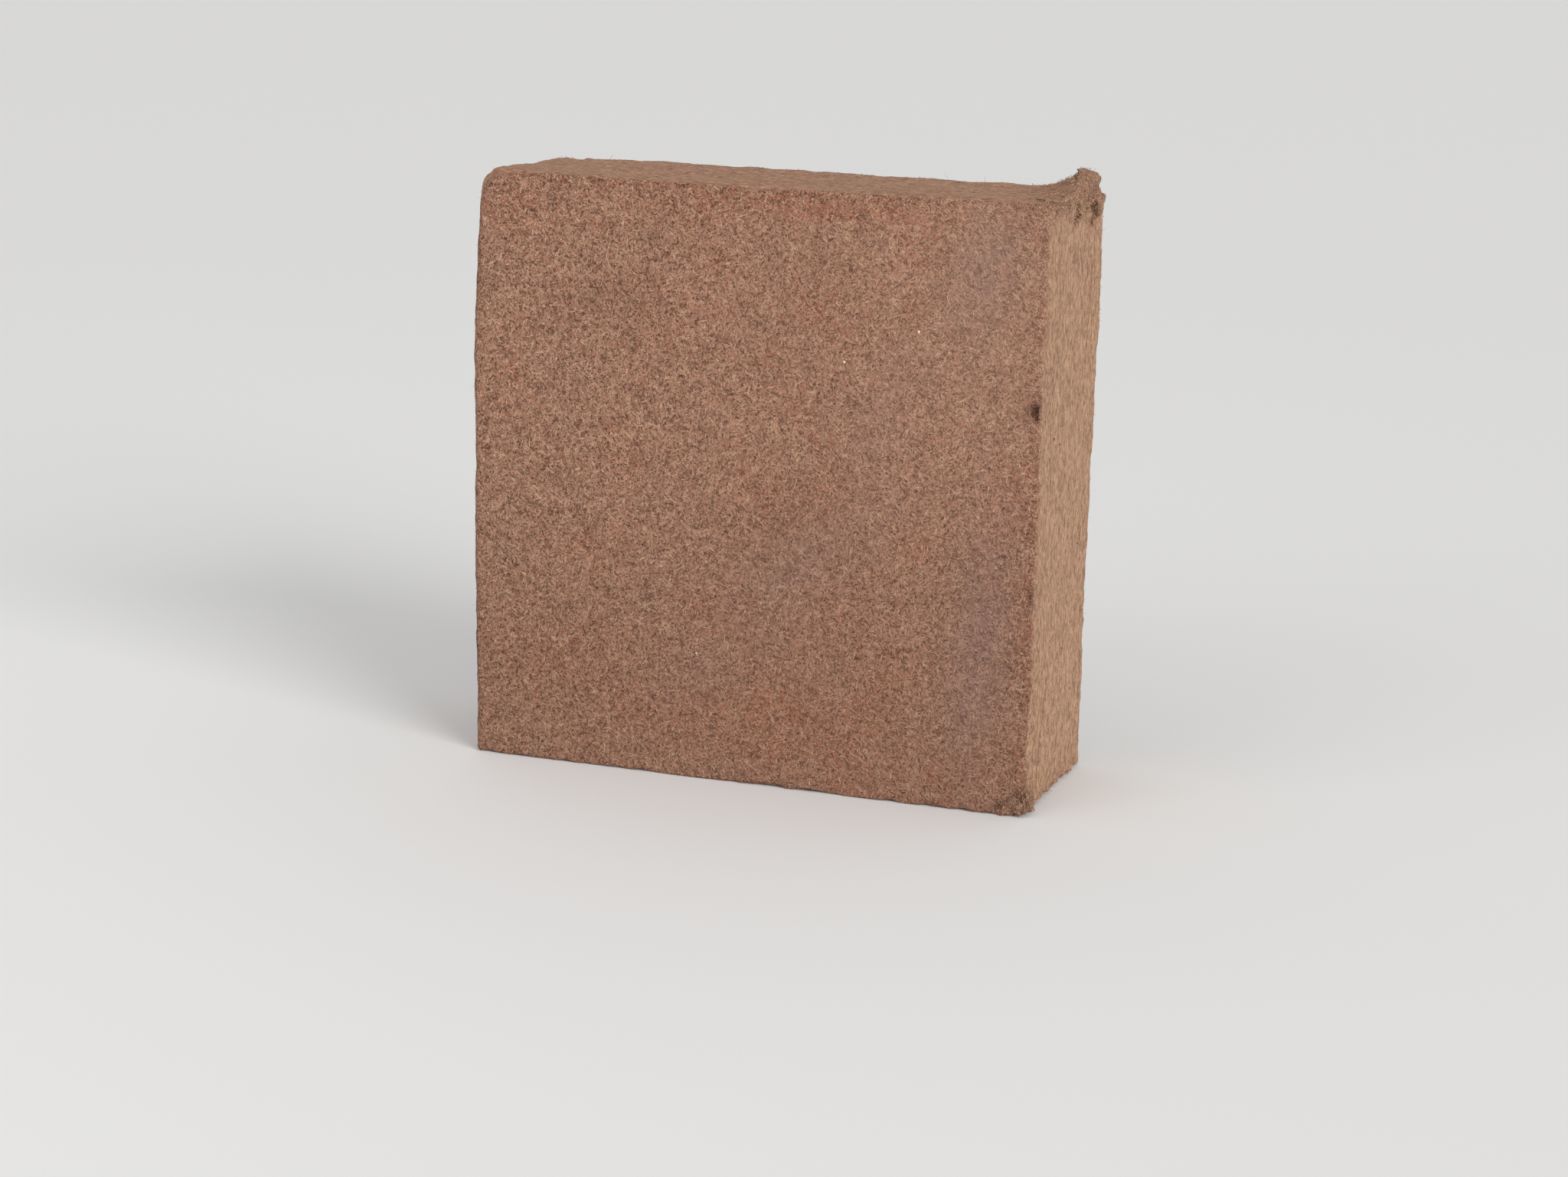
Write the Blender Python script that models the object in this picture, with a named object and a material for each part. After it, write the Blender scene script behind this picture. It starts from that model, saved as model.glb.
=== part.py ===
"""Compressed coconut coir bale, standing on one of its narrow sides.

The bale is one piece: a square slab of coir pith and short fibre, pressed hard between two plates.
X runs across the big faces, Y is the pressing direction, with the front big face at -Y, and Z is up.
The origin is on the ground, under the middle of the bale.
"""

import math

import bmesh
import bpy
import numpy as np

# Driving dimensions, in metres
WIDTH = 0.3025
THICKNESS = 0.111
HEIGHT = 0.307
LEFT_BOW = 0.0028  # how far the left side swells out at its fullest
TOP_FALL = 0.0010  # how much higher than in the middle the top is at its left end
FACE_CROWN = 0.0010  # spring-back of the big faces, at their middle
LIP_FRONT = 0.0012  # how far the torn lip stands over the top, at the front
LIP_BACK = 0.0090  # the same at the back
FISSURE_DEPTH = 0.0042

# Sizes of the surface's unevenness, in metres: how wide its humps are, and how high
WAVE_CELL, WAVE_DEPTH = 0.060, 0.0008
LUMP_CELL, LUMP_DEPTH = 0.014, 0.0004
CRUMBLE_CELL, CRUMBLE_DEPTH = 0.0062, 0.0036
CRUMBLE_REACH = 0.0060  # how far from an edge the crumbling goes
EDGE_BLEND = 0.018  # how far an edge's own rounding is felt
CORNER_BLEND = 0.016  # the same for a round corner
SOFT_RADIUS = 0.025  # material crumbles away along the normals of a slab rounded by this
LOW_SWELLING = 0.34  # share of the height at which the left side swells a second time
BASE_FADE = 0.012  # the unevenness fades out over this height above the ground

# The torn lip: the ramp that leads up to it, where its inner wall stands at the front and at the back, how
# far it leans inwards for its height, and its tip; distances are from the right side
LIP_RAMP_START, LIP_RAMP_RUN = 0.0365, 0.0220
LIP_RAMP_SHARE = 0.80
LIP_WALL_FRONT, LIP_WALL_BACK = 0.0050, 0.0116
LIP_LEAN = 0.30
LIP_TIP_HEIGHT, LIP_TIP_PLACE = 0.0022, 0.048
LIP_ROOT = 0.013

# Grid lines that cut the slab along each axis, and how much closer they lie towards the edges
GRID_CUTS = (78, 30, 80)
GRID_CROWDING = 0.38
KEPT_SHARE = 0.147  # of the grid's triangles, once flat stretches are simplified

# The twelve edges: the two faces that meet there, the rounding, and how crumbly it is, from 0 to 1
EDGES = {
    "front_left": (("y", -1), ("x", -1), 0.0040, 0.15),
    "front_right": (("y", -1), ("x", 1), 0.0024, 0.42),
    "back_left": (("y", 1), ("x", -1), 0.0050, 0.35),
    "back_right": (("y", 1), ("x", 1), 0.0060, 0.30),
    "front_top": (("y", -1), ("z", 1), 0.0026, 0.30),
    "back_top": (("y", 1), ("z", 1), 0.0030, 0.25),
    "front_bottom": (("y", -1), ("z", -1), 0.0020, 0.35),
    "back_bottom": (("y", 1), ("z", -1), 0.0030, 0.50),
    "left_top": (("x", -1), ("z", 1), 0.0065, 0.20),
    "right_top": (("x", 1), ("z", 1), 0.0034, 0.85),
    "left_bottom": (("x", -1), ("z", -1), 0.0028, 0.35),
    "right_bottom": (("x", 1), ("z", -1), 0.0030, 0.60),
}
# Corners that are rounder than the edges that meet there: place and radius
ROUND_CORNERS = (
    ((-0.151, -0.0555, 0.307), 0.0115),
    ((-0.151, 0.0555, 0.307), 0.0085),
)

# Corners where the slab has broken up more than along its edges: place, reach and depth
WORN_CORNERS = (
    ((0.148, 0.030, 0.299), 0.016, 0.0030),
    ((0.148, -0.053, 0.006), 0.013, 0.0030),
    ((-0.148, 0.053, 0.300), 0.016, 0.0030),
    ((-0.146, 0.050, 0.008), 0.014, 0.0026),
)

# Fissures between the pressed layers: the narrow side, the start and end of the run along it, the places at
# the start and at the end in the pressing direction, and the width
FISSURES = (
    ("right", 0.012, 0.060, -0.033, -0.024, 0.0012),
    ("left", 0.030, 0.262, 0.022, 0.027, 0.0020),
    ("left", 0.150, 0.286, -0.014, -0.009, 0.0014),
    ("top", -0.112, 0.010, 0.010, 0.014, 0.0012),
    ("right", 0.196, 0.272, 0.027, 0.030, 0.0011),
)
FISSURE_POINTS = 15
FISSURE_WANDER = 0.0022

# Lumps of pith that the torn lip and the broken corners have shed and kept: place and radius
LUMPS = (
    ((0.1400, 0.0440, 0.3120), 0.0028),
    ((0.1440, 0.0400, 0.3100), 0.0032),
    ((0.1415, 0.0270, 0.3090), 0.0036),
    ((0.1460, 0.0180, 0.3065), 0.0034),
    ((0.1440, 0.0040, 0.3055), 0.0032),
    ((0.1470, 0.0460, 0.3035), 0.0034),
    ((0.1478, 0.0200, 0.3025), 0.0032),
    ((0.1475, -0.0130, 0.3032), 0.0032),
    ((0.1470, -0.0380, 0.3028), 0.0034),
    ((0.1462, -0.0500, 0.0046), 0.0042),
    ((0.1475, -0.0410, 0.0036), 0.0034),
    ((0.1390, -0.0525, 0.0034), 0.0032),
    ((-0.1475, 0.0500, 0.2880), 0.0040),
    ((-0.1480, 0.0500, 0.0090), 0.0038),
)

# Holes where crumbs have fallen out: place and radius
PITS = (
    ((0.1520, 0.0360, 0.2970), 0.0048),
    ((0.1518, 0.0445, 0.2940), 0.0028),
    ((0.1518, 0.0010, 0.2982), 0.0044),
    ((0.1516, -0.0060, 0.2945), 0.0026),
    ((0.1512, 0.0180, 0.2960), 0.0024),
    ((0.1500, -0.0420, 0.3030), 0.0028),
    ((0.1440, -0.0360, 0.3075), 0.0032),
    ((0.1385, -0.0330, 0.3078), 0.0026),
    ((0.1490, -0.0565, 0.2050), 0.0036),
    ((0.1505, -0.0555, 0.1120), 0.0022),
    ((0.1380, -0.0560, 0.0020), 0.0030),
    ((-0.1440, 0.0560, 0.2300), 0.0032),
)

HALF = np.array([WIDTH / 2, THICKNESS / 2, HEIGHT / 2])
AXES = {"x": 0, "y": 1, "z": 2}


def smooth_step(value):
    """0 below 0, 1 above 1, and an even S between."""
    share = np.clip(value, 0.0, 1.0)
    return share * share * (3 - 2 * share)


def corner_value(cell, seed):
    """A fixed number from -1 to 1 for each whole-number corner of a lattice."""
    i = cell.astype(np.int64)
    mixed = (i[:, 0] * 73856093) ^ (i[:, 1] * 19349663) ^ (i[:, 2] * 83492791) ^ (seed * 2654435761)
    mixed = ((mixed ^ (mixed >> 13)) * 1274126177) & 0xFFFFFFFF
    mixed = mixed ^ (mixed >> 15)
    return (mixed & 0xFFFF) / 32767.5 - 1.0


def unevenness(points, cell_size, seed):
    """Smooth random field from -1 to 1 whose humps are about cell_size across."""
    place = points / cell_size
    low = np.floor(place)
    share = smooth_step(place - low)
    total = np.zeros(len(points))
    for corner in np.ndindex(2, 2, 2):
        weight = np.prod(np.where(np.array(corner) == 1, share, 1 - share), axis=1)
        total += weight * corner_value(low + corner, seed)
    return total


def edge_distance(points, faces):
    """Distance of points of the sharp slab to the edge where two of its faces meet."""
    gaps = [HALF[AXES[axis]] - side * points[:, AXES[axis]] for axis, side in faces]
    return np.hypot(*gaps)


def rounding(points):
    """The edge radius at each point: the mean of the twelve edges' radii, weighted by nearness, and near
    a round corner the corner's own."""
    total = np.zeros(len(points))
    weights = np.zeros(len(points))
    for first, second, radius, _ in EDGES.values():
        near = np.exp(-edge_distance(points, (first, second)) / EDGE_BLEND)
        total += near * radius
        weights += near
    mean = total / weights
    for place, radius in ROUND_CORNERS:
        centred = np.array(place) - (0, 0, HALF[2])
        near = np.exp(-((np.linalg.norm(points - centred, axis=1) / CORNER_BLEND) ** 2))
        mean += (radius - mean) * near
    return mean


def crumbliness(points):
    """How much can crumble away, in metres, at each point of the sharp slab: most at the worn edges."""
    depth = np.zeros(len(points))
    for first, second, _, crumbly in EDGES.values():
        near = np.exp(-((edge_distance(points, (first, second)) / CRUMBLE_REACH) ** 2))
        depth = np.maximum(depth, near * crumbly * CRUMBLE_DEPTH)
    for place, reach, worn in WORN_CORNERS:
        centred = np.array(place) - (0, 0, HEIGHT / 2)
        near = np.exp(-((np.linalg.norm(points - centred, axis=1) / reach) ** 2))
        depth = np.maximum(depth, near * worn)
    return depth


def outward(points, radius):
    """Outward directions of the slab rounded by that radius, and the centres that they start from."""
    reach = HALF - np.reshape(radius, (-1, 1))
    inner = np.clip(points, -reach, reach)
    away = points - inner
    return away / np.linalg.norm(away, axis=1, keepdims=True), inner


def relief(points, placed, direction):
    """How far the faces stand out: the crown of the big faces, slow waves and lumps, none on the base."""
    across, _, up = (points / HALF).T
    crown = FACE_CROWN * np.abs(direction[:, 1]) * (1 - across**2) * (1 - up**2)
    waves = WAVE_DEPTH * unevenness(placed, WAVE_CELL, 1)
    lumps = LUMP_DEPTH * unevenness(placed, LUMP_CELL, 2)
    return (crown + waves + lumps) * smooth_step((points[:, 2] + HALF[2]) / BASE_FADE)


def crumbled_away(points, placed):
    """How much is gone at each point: what can crumble, times a field that is either near 0 or near 1."""
    coarse = unevenness(placed, CRUMBLE_CELL, 3)
    fine = unevenness(placed, CRUMBLE_CELL / 2, 5)
    return crumbliness(points) * smooth_step(0.45 + 0.80 * coarse + 0.40 * fine)


def torn_lip(placed, back_share):
    """How the lip is raised over the top: a ramp, then a wall with a tip and a ragged ridge along the right
    side, low and narrow at the front, high and broad at the back; the wall leans inwards."""
    inset = HALF[0] - placed[:, 0]
    wall = LIP_WALL_FRONT + (LIP_WALL_BACK - LIP_WALL_FRONT) * back_share
    wall = wall + 0.0018 * unevenness(placed, 0.0085, 14)
    ramp = np.clip((LIP_RAMP_START - inset) / LIP_RAMP_RUN, 0, 1) ** 2 * back_share**2
    ridge = smooth_step((wall - inset) / 0.0024)
    fall = smooth_step((inset + 0.0004) / 0.0048) * (0.80 + 0.20 * np.clip(inset / 0.013, 0, 1))
    tip = np.exp(-(((wall - inset - 0.0019) / 0.0013) ** 2) - ((placed[:, 1] - LIP_TIP_PLACE) / 0.0050) ** 2)
    near_top = smooth_step((placed[:, 2] - HALF[2] + LIP_ROOT) / LIP_ROOT)
    ragged = 1 + 0.20 * unevenness(placed, 0.0060, 4) + 0.10 * unevenness(placed, 0.0028, 15)
    height = LIP_FRONT + (LIP_BACK - LIP_FRONT) * back_share**1.4
    raised = height * (LIP_RAMP_SHARE * ramp + (1 - LIP_RAMP_SHARE) * ridge * ragged) * fall
    raised = (raised + LIP_TIP_HEIGHT * tip) * near_top
    lean = (LIP_LEAN * raised + LIP_TIP_HEIGHT * tip) * ridge * smooth_step((inset - 0.004) / 0.006)
    return np.stack([-lean, np.zeros_like(lean), raised], axis=1)


def bale_form(points):
    """Carries points of the sharp slab, centred on the origin, to the surface of the bale on the ground.

    The edges are rounded, the torn lip rises at the top right, the faces get their relief, the edges crumble
    inwards, the left side swells and the top falls a little to the right.
    """
    across, along, up = (points / HALF).T
    radius = rounding(points)
    direction, inner = outward(points, radius)
    placed = inner + radius[:, None] * direction
    placed = placed + torn_lip(placed, smooth_step((along + 1) / 2))
    soft_direction, _ = outward(points, SOFT_RADIUS)
    standing_out = relief(points, placed, direction)
    lost = crumbled_away(points, placed)
    placed = placed + standing_out[:, None] * direction - lost[:, None] * soft_direction

    height_share = (up + 1) / 2
    low_swelling = 0.6 * np.exp(-(((height_share - LOW_SWELLING) / 0.10) ** 2))
    swell = LEFT_BOW * (np.sin(math.pi * height_share**1.6) + low_swelling) * (1 - 0.3 * along**2)
    placed[:, 0] += LEFT_BOW / 3 - swell * smooth_step(-across)
    placed[:, 2] -= TOP_FALL * across * height_share
    placed[:, 2] = np.maximum(placed[:, 2] + HALF[2], 0.0)
    return placed


def grid_place(share):
    """Moves even grid lines, from -1 to 1, closer together towards both ends."""
    return share * (1 + GRID_CROWDING * (1 - share**2))


def pressed_slab():
    """The slab as one closed mesh: a cube, cut into a grid, with every point moved to the bale's form."""
    bpy.ops.mesh.primitive_cube_add(size=2)
    slab = bpy.context.object
    slab.name = "bale"
    mesh = bmesh.new()
    mesh.from_mesh(slab.data)
    for axis, cuts in enumerate(GRID_CUTS):
        runs_along = []
        for edge in mesh.edges:
            run = edge.verts[1].co - edge.verts[0].co
            if abs(run[axis]) > 0.5 * run.length:
                runs_along.append(edge)
        bmesh.ops.subdivide_edges(mesh, edges=runs_along, cuts=cuts, use_grid_fill=True)
    sharp = grid_place(np.array([vert.co for vert in mesh.verts])) * HALF
    for vert, place in zip(mesh.verts, bale_form(sharp)):
        vert.co = place
    mesh.to_mesh(slab.data)
    mesh.free()
    simplify = slab.modifiers.new("fewer_triangles_where_flat", "DECIMATE")
    simplify.ratio = KEPT_SHARE
    simplified = slab.evaluated_get(bpy.context.evaluated_depsgraph_get())
    slab.data = bpy.data.meshes.new_from_object(simplified)
    slab.modifiers.clear()
    for vert in slab.data.vertices:
        vert.co.z = max(vert.co.z, 0.0)
    return slab


def fissure_outline(start, end, offset_start, offset_end, width, seed):
    """A long thin lens that wanders: points down one lip of the fissure and back up the other."""
    share = np.linspace(0, 1, FISSURE_POINTS)
    run = start + (end - start) * share
    probe = np.stack([run, np.full_like(run, seed), np.zeros_like(run)], axis=1)
    wander = unevenness(probe, 0.022, seed) + 0.4 * unevenness(probe, 0.007, seed + 1)
    line = offset_start + (offset_end - offset_start) * share + FISSURE_WANDER * wander
    opening = 0.5 * width * np.sqrt(np.sin(math.pi * share)) * (1 + 0.35 * unevenness(probe, 0.012, seed + 2))
    opening[[0, -1]] = 0.0
    down = list(zip(run, line + opening))
    back = list(zip(run[-2:0:-1], (line - opening)[-2:0:-1]))
    return down + back


def fissure_blade(side, start, end, offset_start, offset_end, width, seed):
    """A blade of a fissure's outline, which reaches as deep into its side as it stands out of it."""
    curve = bpy.data.curves.new(f"fissure_{seed}", "CURVE")
    curve.dimensions = "2D"
    curve.fill_mode = "BOTH"
    curve.extrude = FISSURE_DEPTH
    outline = fissure_outline(start, end, offset_start, offset_end, width, seed)
    spline = curve.splines.new("POLY")
    spline.points.add(len(outline) - 1)
    for point, (run, across) in zip(spline.points, outline):
        point.co = (run, across, 0, 1)
    spline.use_cyclic_u = True
    drawn = bpy.data.objects.new(f"fissure_{seed}_line", curve)
    bpy.context.scene.collection.objects.link(drawn)
    # The curve's x is the run along the side, its y the pressing direction, and it is extruded along the depth.
    if side == "top":
        drawn.location = (0, 0, HEIGHT)
    else:
        drawn.rotation_euler = (0, -math.pi / 2, 0)
        drawn.location = (WIDTH / 2 if side == "right" else -WIDTH / 2 - LEFT_BOW / 2, 0, 0)
    bpy.context.view_layer.update()
    mesh = bpy.data.meshes.new_from_object(drawn.evaluated_get(bpy.context.evaluated_depsgraph_get()))
    blade = bpy.data.objects.new(f"fissure_{seed}_blade", mesh)
    blade.matrix_world = drawn.matrix_world
    weld = bmesh.new()
    weld.from_mesh(mesh)
    bmesh.ops.remove_doubles(weld, verts=weld.verts, dist=1e-5)
    bmesh.ops.recalc_face_normals(weld, faces=weld.faces)
    weld.to_mesh(mesh)
    weld.free()
    bpy.data.objects.remove(drawn)
    return blade


def uneven_ball(name, place, radius, seed):
    """A ball with a lumpy surface, turned a different way for each seed."""
    build = bmesh.new()
    bmesh.ops.create_icosphere(build, subdivisions=2, radius=1.0)
    ball = np.array([vert.co for vert in build.verts])
    lumpy = ball * (radius * (1 + 0.30 * unevenness(ball, 0.8, 30 + seed)))[:, None]
    for vert, point in zip(build.verts, lumpy):
        vert.co = point
    mesh = bpy.data.meshes.new(name)
    build.to_mesh(mesh)
    build.free()
    made = bpy.data.objects.new(name, mesh)
    made.location = (place[0], place[1], max(place[2], 1.31 * radius))
    made.rotation_euler = (0.7 * seed, 1.3 * seed, 0.4 * seed)
    return made


def shape_by(slab, helper, helpers, operation):
    """Cuts a helper out of the slab, or joins it on."""
    helpers.objects.link(helper)
    helper.hide_render = True
    helper.display_type = "WIRE"
    modifier = slab.modifiers.new(helper.name, "BOOLEAN")
    modifier.operation = operation
    modifier.object = helper


def pressed_coir():
    """Dull reddish brown, the mean of the big faces."""
    material = bpy.data.materials.new("pressed_coir")
    material.use_nodes = True
    shader = material.node_tree.nodes["Principled BSDF"]
    shader.inputs["Base Color"].default_value = (0.30, 0.16, 0.105, 1)
    shader.inputs["Roughness"].default_value = 0.95
    shader.inputs["Metallic"].default_value = 0.0
    return material


def main():
    for existing in list(bpy.data.objects):
        bpy.data.objects.remove(existing)
    bale = pressed_slab()
    helpers = bpy.data.collections.new("cutters_and_lumps")
    bpy.context.scene.collection.children.link(helpers)
    for number, (place, radius) in enumerate(LUMPS):
        shape_by(bale, uneven_ball(f"lump_{number}", place, radius, number), helpers, "UNION")
    for number, (place, radius) in enumerate(PITS):
        shape_by(bale, uneven_ball(f"pit_{number}", place, radius, 50 + number), helpers, "DIFFERENCE")
    for number, fissure in enumerate(FISSURES):
        shape_by(bale, fissure_blade(*fissure, 11 + 3 * number), helpers, "DIFFERENCE")
    bale.data.materials.append(pressed_coir())
    bale.data.shade_smooth()
    bale.data.set_sharp_from_angle(angle=math.radians(40))
    home = bpy.data.collections.new("coconut_coir_bale")
    bpy.context.scene.collection.children.link(home)
    for collection in list(bale.users_collection):
        collection.objects.unlink(bale)
    home.objects.link(bale)


main()
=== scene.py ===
"""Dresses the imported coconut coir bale: a crumbling slab of pressed fibre, on a pale floor in soft light.

The slab's form is the same set of rules as the solid's: a sharp slab whose edges are rounded and crumble,
whose faces swell, and whose top right edge stands up in a torn lip. Here the rules are sampled on a much
finer grid, and the fibres, crumbs, fringe and hairs of the real thing are laid on that surface.
"""

import itertools
import math

import bpy
import numpy as np
from mathutils import Matrix, Vector


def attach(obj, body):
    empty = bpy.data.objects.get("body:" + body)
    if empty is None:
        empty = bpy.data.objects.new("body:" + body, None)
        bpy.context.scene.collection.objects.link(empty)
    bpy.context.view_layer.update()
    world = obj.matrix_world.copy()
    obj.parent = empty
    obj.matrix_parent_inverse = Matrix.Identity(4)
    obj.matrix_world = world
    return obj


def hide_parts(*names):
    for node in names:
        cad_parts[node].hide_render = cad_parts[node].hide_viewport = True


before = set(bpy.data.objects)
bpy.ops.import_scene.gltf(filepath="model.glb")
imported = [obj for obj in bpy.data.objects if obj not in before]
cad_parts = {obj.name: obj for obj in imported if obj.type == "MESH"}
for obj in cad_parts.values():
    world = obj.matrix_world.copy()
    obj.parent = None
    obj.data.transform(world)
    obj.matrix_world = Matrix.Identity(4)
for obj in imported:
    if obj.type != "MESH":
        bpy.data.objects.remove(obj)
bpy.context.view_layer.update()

bl_info = {
    "name": "Coconut Coir Bale",
    "version": (1, 0, 0),
    "blender": (4, 5, 0),
    "location": "View3D > Sidebar > Coir Bale",
    "description": "Makes a pressed coir bale with its fibres, crumbs and torn edges",
    "category": "Add Mesh",
}

# Sizes of the slab's unevenness, in metres: how wide its humps are, and how high
WAVE_CELL, WAVE_DEPTH = 0.060, 0.0008
LUMP_CELL, LUMP_DEPTH = 0.014, 0.0004
CRUMBLE_CELL = 0.0062
CRUMBLE_REACH = 0.0060
EDGE_BLEND = 0.018
CORNER_BLEND = 0.016
SOFT_RADIUS = 0.025
LOW_SWELLING = 0.34  # share of the height at which the left side swells a second time
BASE_FADE = 0.012
WEAR_REACH = 0.0120  # how far in from a crumbly edge the faces are roughened

# The torn lip: the ramp that leads up to it, where its inner wall stands at the front and at the back, how
# far it leans inwards for its height, and its tip; distances are from the right side
LIP_RAMP_START, LIP_RAMP_RUN = 0.0365, 0.0220
LIP_RAMP_SHARE = 0.80
LIP_WALL_FRONT, LIP_WALL_BACK = 0.0050, 0.0116
LIP_LEAN = 0.30
LIP_TIP_HEIGHT, LIP_TIP_PLACE = 0.0022, 0.048
LIP_ROOT = 0.013

# The twelve edges: the two faces that meet there, the rounding, and how crumbly it is, from 0 to 1
EDGES = {
    "front_left": (("y", -1), ("x", -1), 0.0040, 0.15),
    "front_right": (("y", -1), ("x", 1), 0.0024, 0.42),
    "back_left": (("y", 1), ("x", -1), 0.0050, 0.35),
    "back_right": (("y", 1), ("x", 1), 0.0060, 0.30),
    "front_top": (("y", -1), ("z", 1), 0.0026, 0.30),
    "back_top": (("y", 1), ("z", 1), 0.0030, 0.25),
    "front_bottom": (("y", -1), ("z", -1), 0.0020, 0.35),
    "back_bottom": (("y", 1), ("z", -1), 0.0030, 0.50),
    "left_top": (("x", -1), ("z", 1), 0.0065, 0.20),
    "right_top": (("x", 1), ("z", 1), 0.0034, 0.85),
    "left_bottom": (("x", -1), ("z", -1), 0.0028, 0.35),
    "right_bottom": (("x", 1), ("z", -1), 0.0030, 0.60),
}
AXES = {"x": 0, "y": 1, "z": 2}

# Corners that are rounder than the edges that meet there: place and radius
ROUND_CORNERS = (
    ((-0.151, -0.0555, 0.307), 0.0115),
    ((-0.151, 0.0555, 0.307), 0.0085),
)

# Corners where the slab has broken up more than along its edges: place, reach and depth
WORN_CORNERS = (
    ((0.148, 0.030, 0.299), 0.016, 0.0030),
    ((0.148, -0.053, 0.006), 0.013, 0.0030),
    ((-0.148, 0.053, 0.300), 0.016, 0.0030),
    ((-0.146, 0.050, 0.008), 0.014, 0.0026),
)

# Fissures between the pressed layers: the narrow side, the start and end of the run, the places at the
# start and at the end in the pressing direction, and the width
FISSURES = (
    ("right", 0.010, 0.062, -0.034, -0.024, 0.0026),
    ("left", 0.030, 0.262, 0.022, 0.027, 0.0020),
    ("left", 0.150, 0.286, -0.014, -0.009, 0.0014),
    ("top", -0.112, 0.010, 0.010, 0.014, 0.0012),
    ("right", 0.196, 0.272, 0.027, 0.030, 0.0018),
)
FISSURE_DEPTH = 0.0034
FISSURE_WANDER = 0.0022

# Lumps of pith that the torn lip and the broken corners have shed and kept: place and radius
LUMPS = (
    ((0.1400, 0.0440, 0.3120), 0.0028),
    ((0.1440, 0.0400, 0.3100), 0.0032),
    ((0.1415, 0.0270, 0.3090), 0.0036),
    ((0.1460, 0.0180, 0.3065), 0.0034),
    ((0.1440, 0.0040, 0.3055), 0.0032),
    ((0.1470, 0.0460, 0.3035), 0.0034),
    ((0.1478, 0.0200, 0.3025), 0.0032),
    ((0.1475, -0.0130, 0.3032), 0.0032),
    ((0.1470, -0.0380, 0.3028), 0.0034),
    ((0.1462, -0.0500, 0.0046), 0.0042),
    ((0.1475, -0.0410, 0.0036), 0.0034),
    ((0.1390, -0.0525, 0.0034), 0.0032),
    ((-0.1475, 0.0500, 0.2880), 0.0040),
    ((-0.1480, 0.0500, 0.0090), 0.0038),
)

# Holes where crumbs have fallen out: place and radius
PITS = (
    ((0.1520, 0.0360, 0.2970), 0.0048),
    ((0.1518, 0.0445, 0.2940), 0.0028),
    ((0.1518, 0.0010, 0.2982), 0.0044),
    ((0.1516, -0.0060, 0.2945), 0.0026),
    ((0.1512, 0.0180, 0.2960), 0.0024),
    ((0.1500, -0.0420, 0.3030), 0.0028),
    ((0.1440, -0.0360, 0.3075), 0.0032),
    ((0.1385, -0.0330, 0.3078), 0.0026),
    ((0.1490, -0.0565, 0.2050), 0.0036),
    ((0.1505, -0.0555, 0.1120), 0.0022),
    ((0.1380, -0.0560, 0.0020), 0.0030),
    ((-0.1440, 0.0560, 0.2300), 0.0032),
)

# Patches of another colour on the big faces: x, z, half length, half width, tilt in degrees, strength
# The burnished patches: smoother pressed pith, with a lower roughness, whose grey-mauve colour is painted
# sheen
BURNISHED_SHEEN_FRONT = (
    (0.120, 0.272, 0.040, 0.018, 80, 0.85),
    (0.030, 0.118, 0.060, 0.020, 42, 0.55),
    (0.124, 0.085, 0.075, 0.017, 86, 0.90),
    (0.070, 0.200, 0.050, 0.020, 60, 0.35),
    (-0.020, 0.060, 0.040, 0.016, 30, 0.30),
)
BURNISHED_SHEEN_BACK = (
    (-0.060, 0.230, 0.070, 0.030, 20, 0.80),
    (0.070, 0.090, 0.060, 0.028, 75, 0.70),
    (-0.110, 0.060, 0.040, 0.022, 60, 0.60),
    (0.120, 0.250, 0.040, 0.020, 80, 0.50),
)
RUDDY_FRONT = (
    (-0.115, 0.290, 0.035, 0.016, 10, 0.60),
    (0.000, 0.035, 0.060, 0.018, 5, 0.75),
    (-0.110, 0.060, 0.045, 0.030, 30, 0.55),
    (-0.060, 0.225, 0.030, 0.018, 60, 0.30),
    (0.045, 0.2975, 0.090, 0.0060, 0, 0.95),
)
RUDDY_BACK = (
    (0.030, 0.280, 0.080, 0.018, 0, 0.50),
    (-0.080, 0.140, 0.050, 0.030, 40, 0.60),
    (0.110, 0.160, 0.040, 0.024, 70, 0.45),
)
# Dark patches on the front: the second is painted shade in the notch of the pit at the front right edge; the
# first is a small dark spot and the last two are broad dark blotches
DARK_FRONT = (
    (-0.0543, 0.2781, 0.0045, 0.0030, 30, 0.90),
    (0.1453, 0.2058, 0.0060, 0.0040, 80, 0.90),
    (-0.080, 0.245, 0.022, 0.012, 20, 0.30),
    (0.020, 0.140, 0.030, 0.014, 60, 0.25),
)

# Single hairs and specks that catch the eye: where they lie on a face, as its two coordinates
FRONT_HAIRS = (
    ((-0.0757, 0.2728), (-0.0756, 0.2629), 0.30),
    ((-0.0690, 0.2715), (-0.0668, 0.2650), -0.25),
    ((0.1042, 0.2640), (0.1046, 0.2550), 0.35),
    ((-0.0592, 0.1891), (-0.0532, 0.1794), 0.02),
)
RIGHT_SPECKS = (
    (-0.0183, 0.1846),
    (-0.0282, 0.1890),
    (0.0292, 0.1257),
    (-0.0197, 0.0804),
    (0.0044, 0.0752),
    (-0.0116, 0.0516),
)
WHITE_SPECKS = ((0.0874, 0.2408), (0.0495, 0.2232), (-0.0259, 0.0668))
SPECK_RADIUS = 0.0008

# Bands of the big faces along their edges that are redder, darker and more broken: reach and strength
BANDS = {
    "front_right": (0.0090, 0.95),
    "front_top": (0.0056, 1.00),
    "front_bottom": (0.0028, 0.50),
    "front_left": (0.0030, 0.35),
    "back_left": (0.0070, 0.80),
    "back_top": (0.0040, 0.70),
    "back_right": (0.0040, 0.60),
    "back_bottom": (0.0036, 0.70),
}

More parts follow.
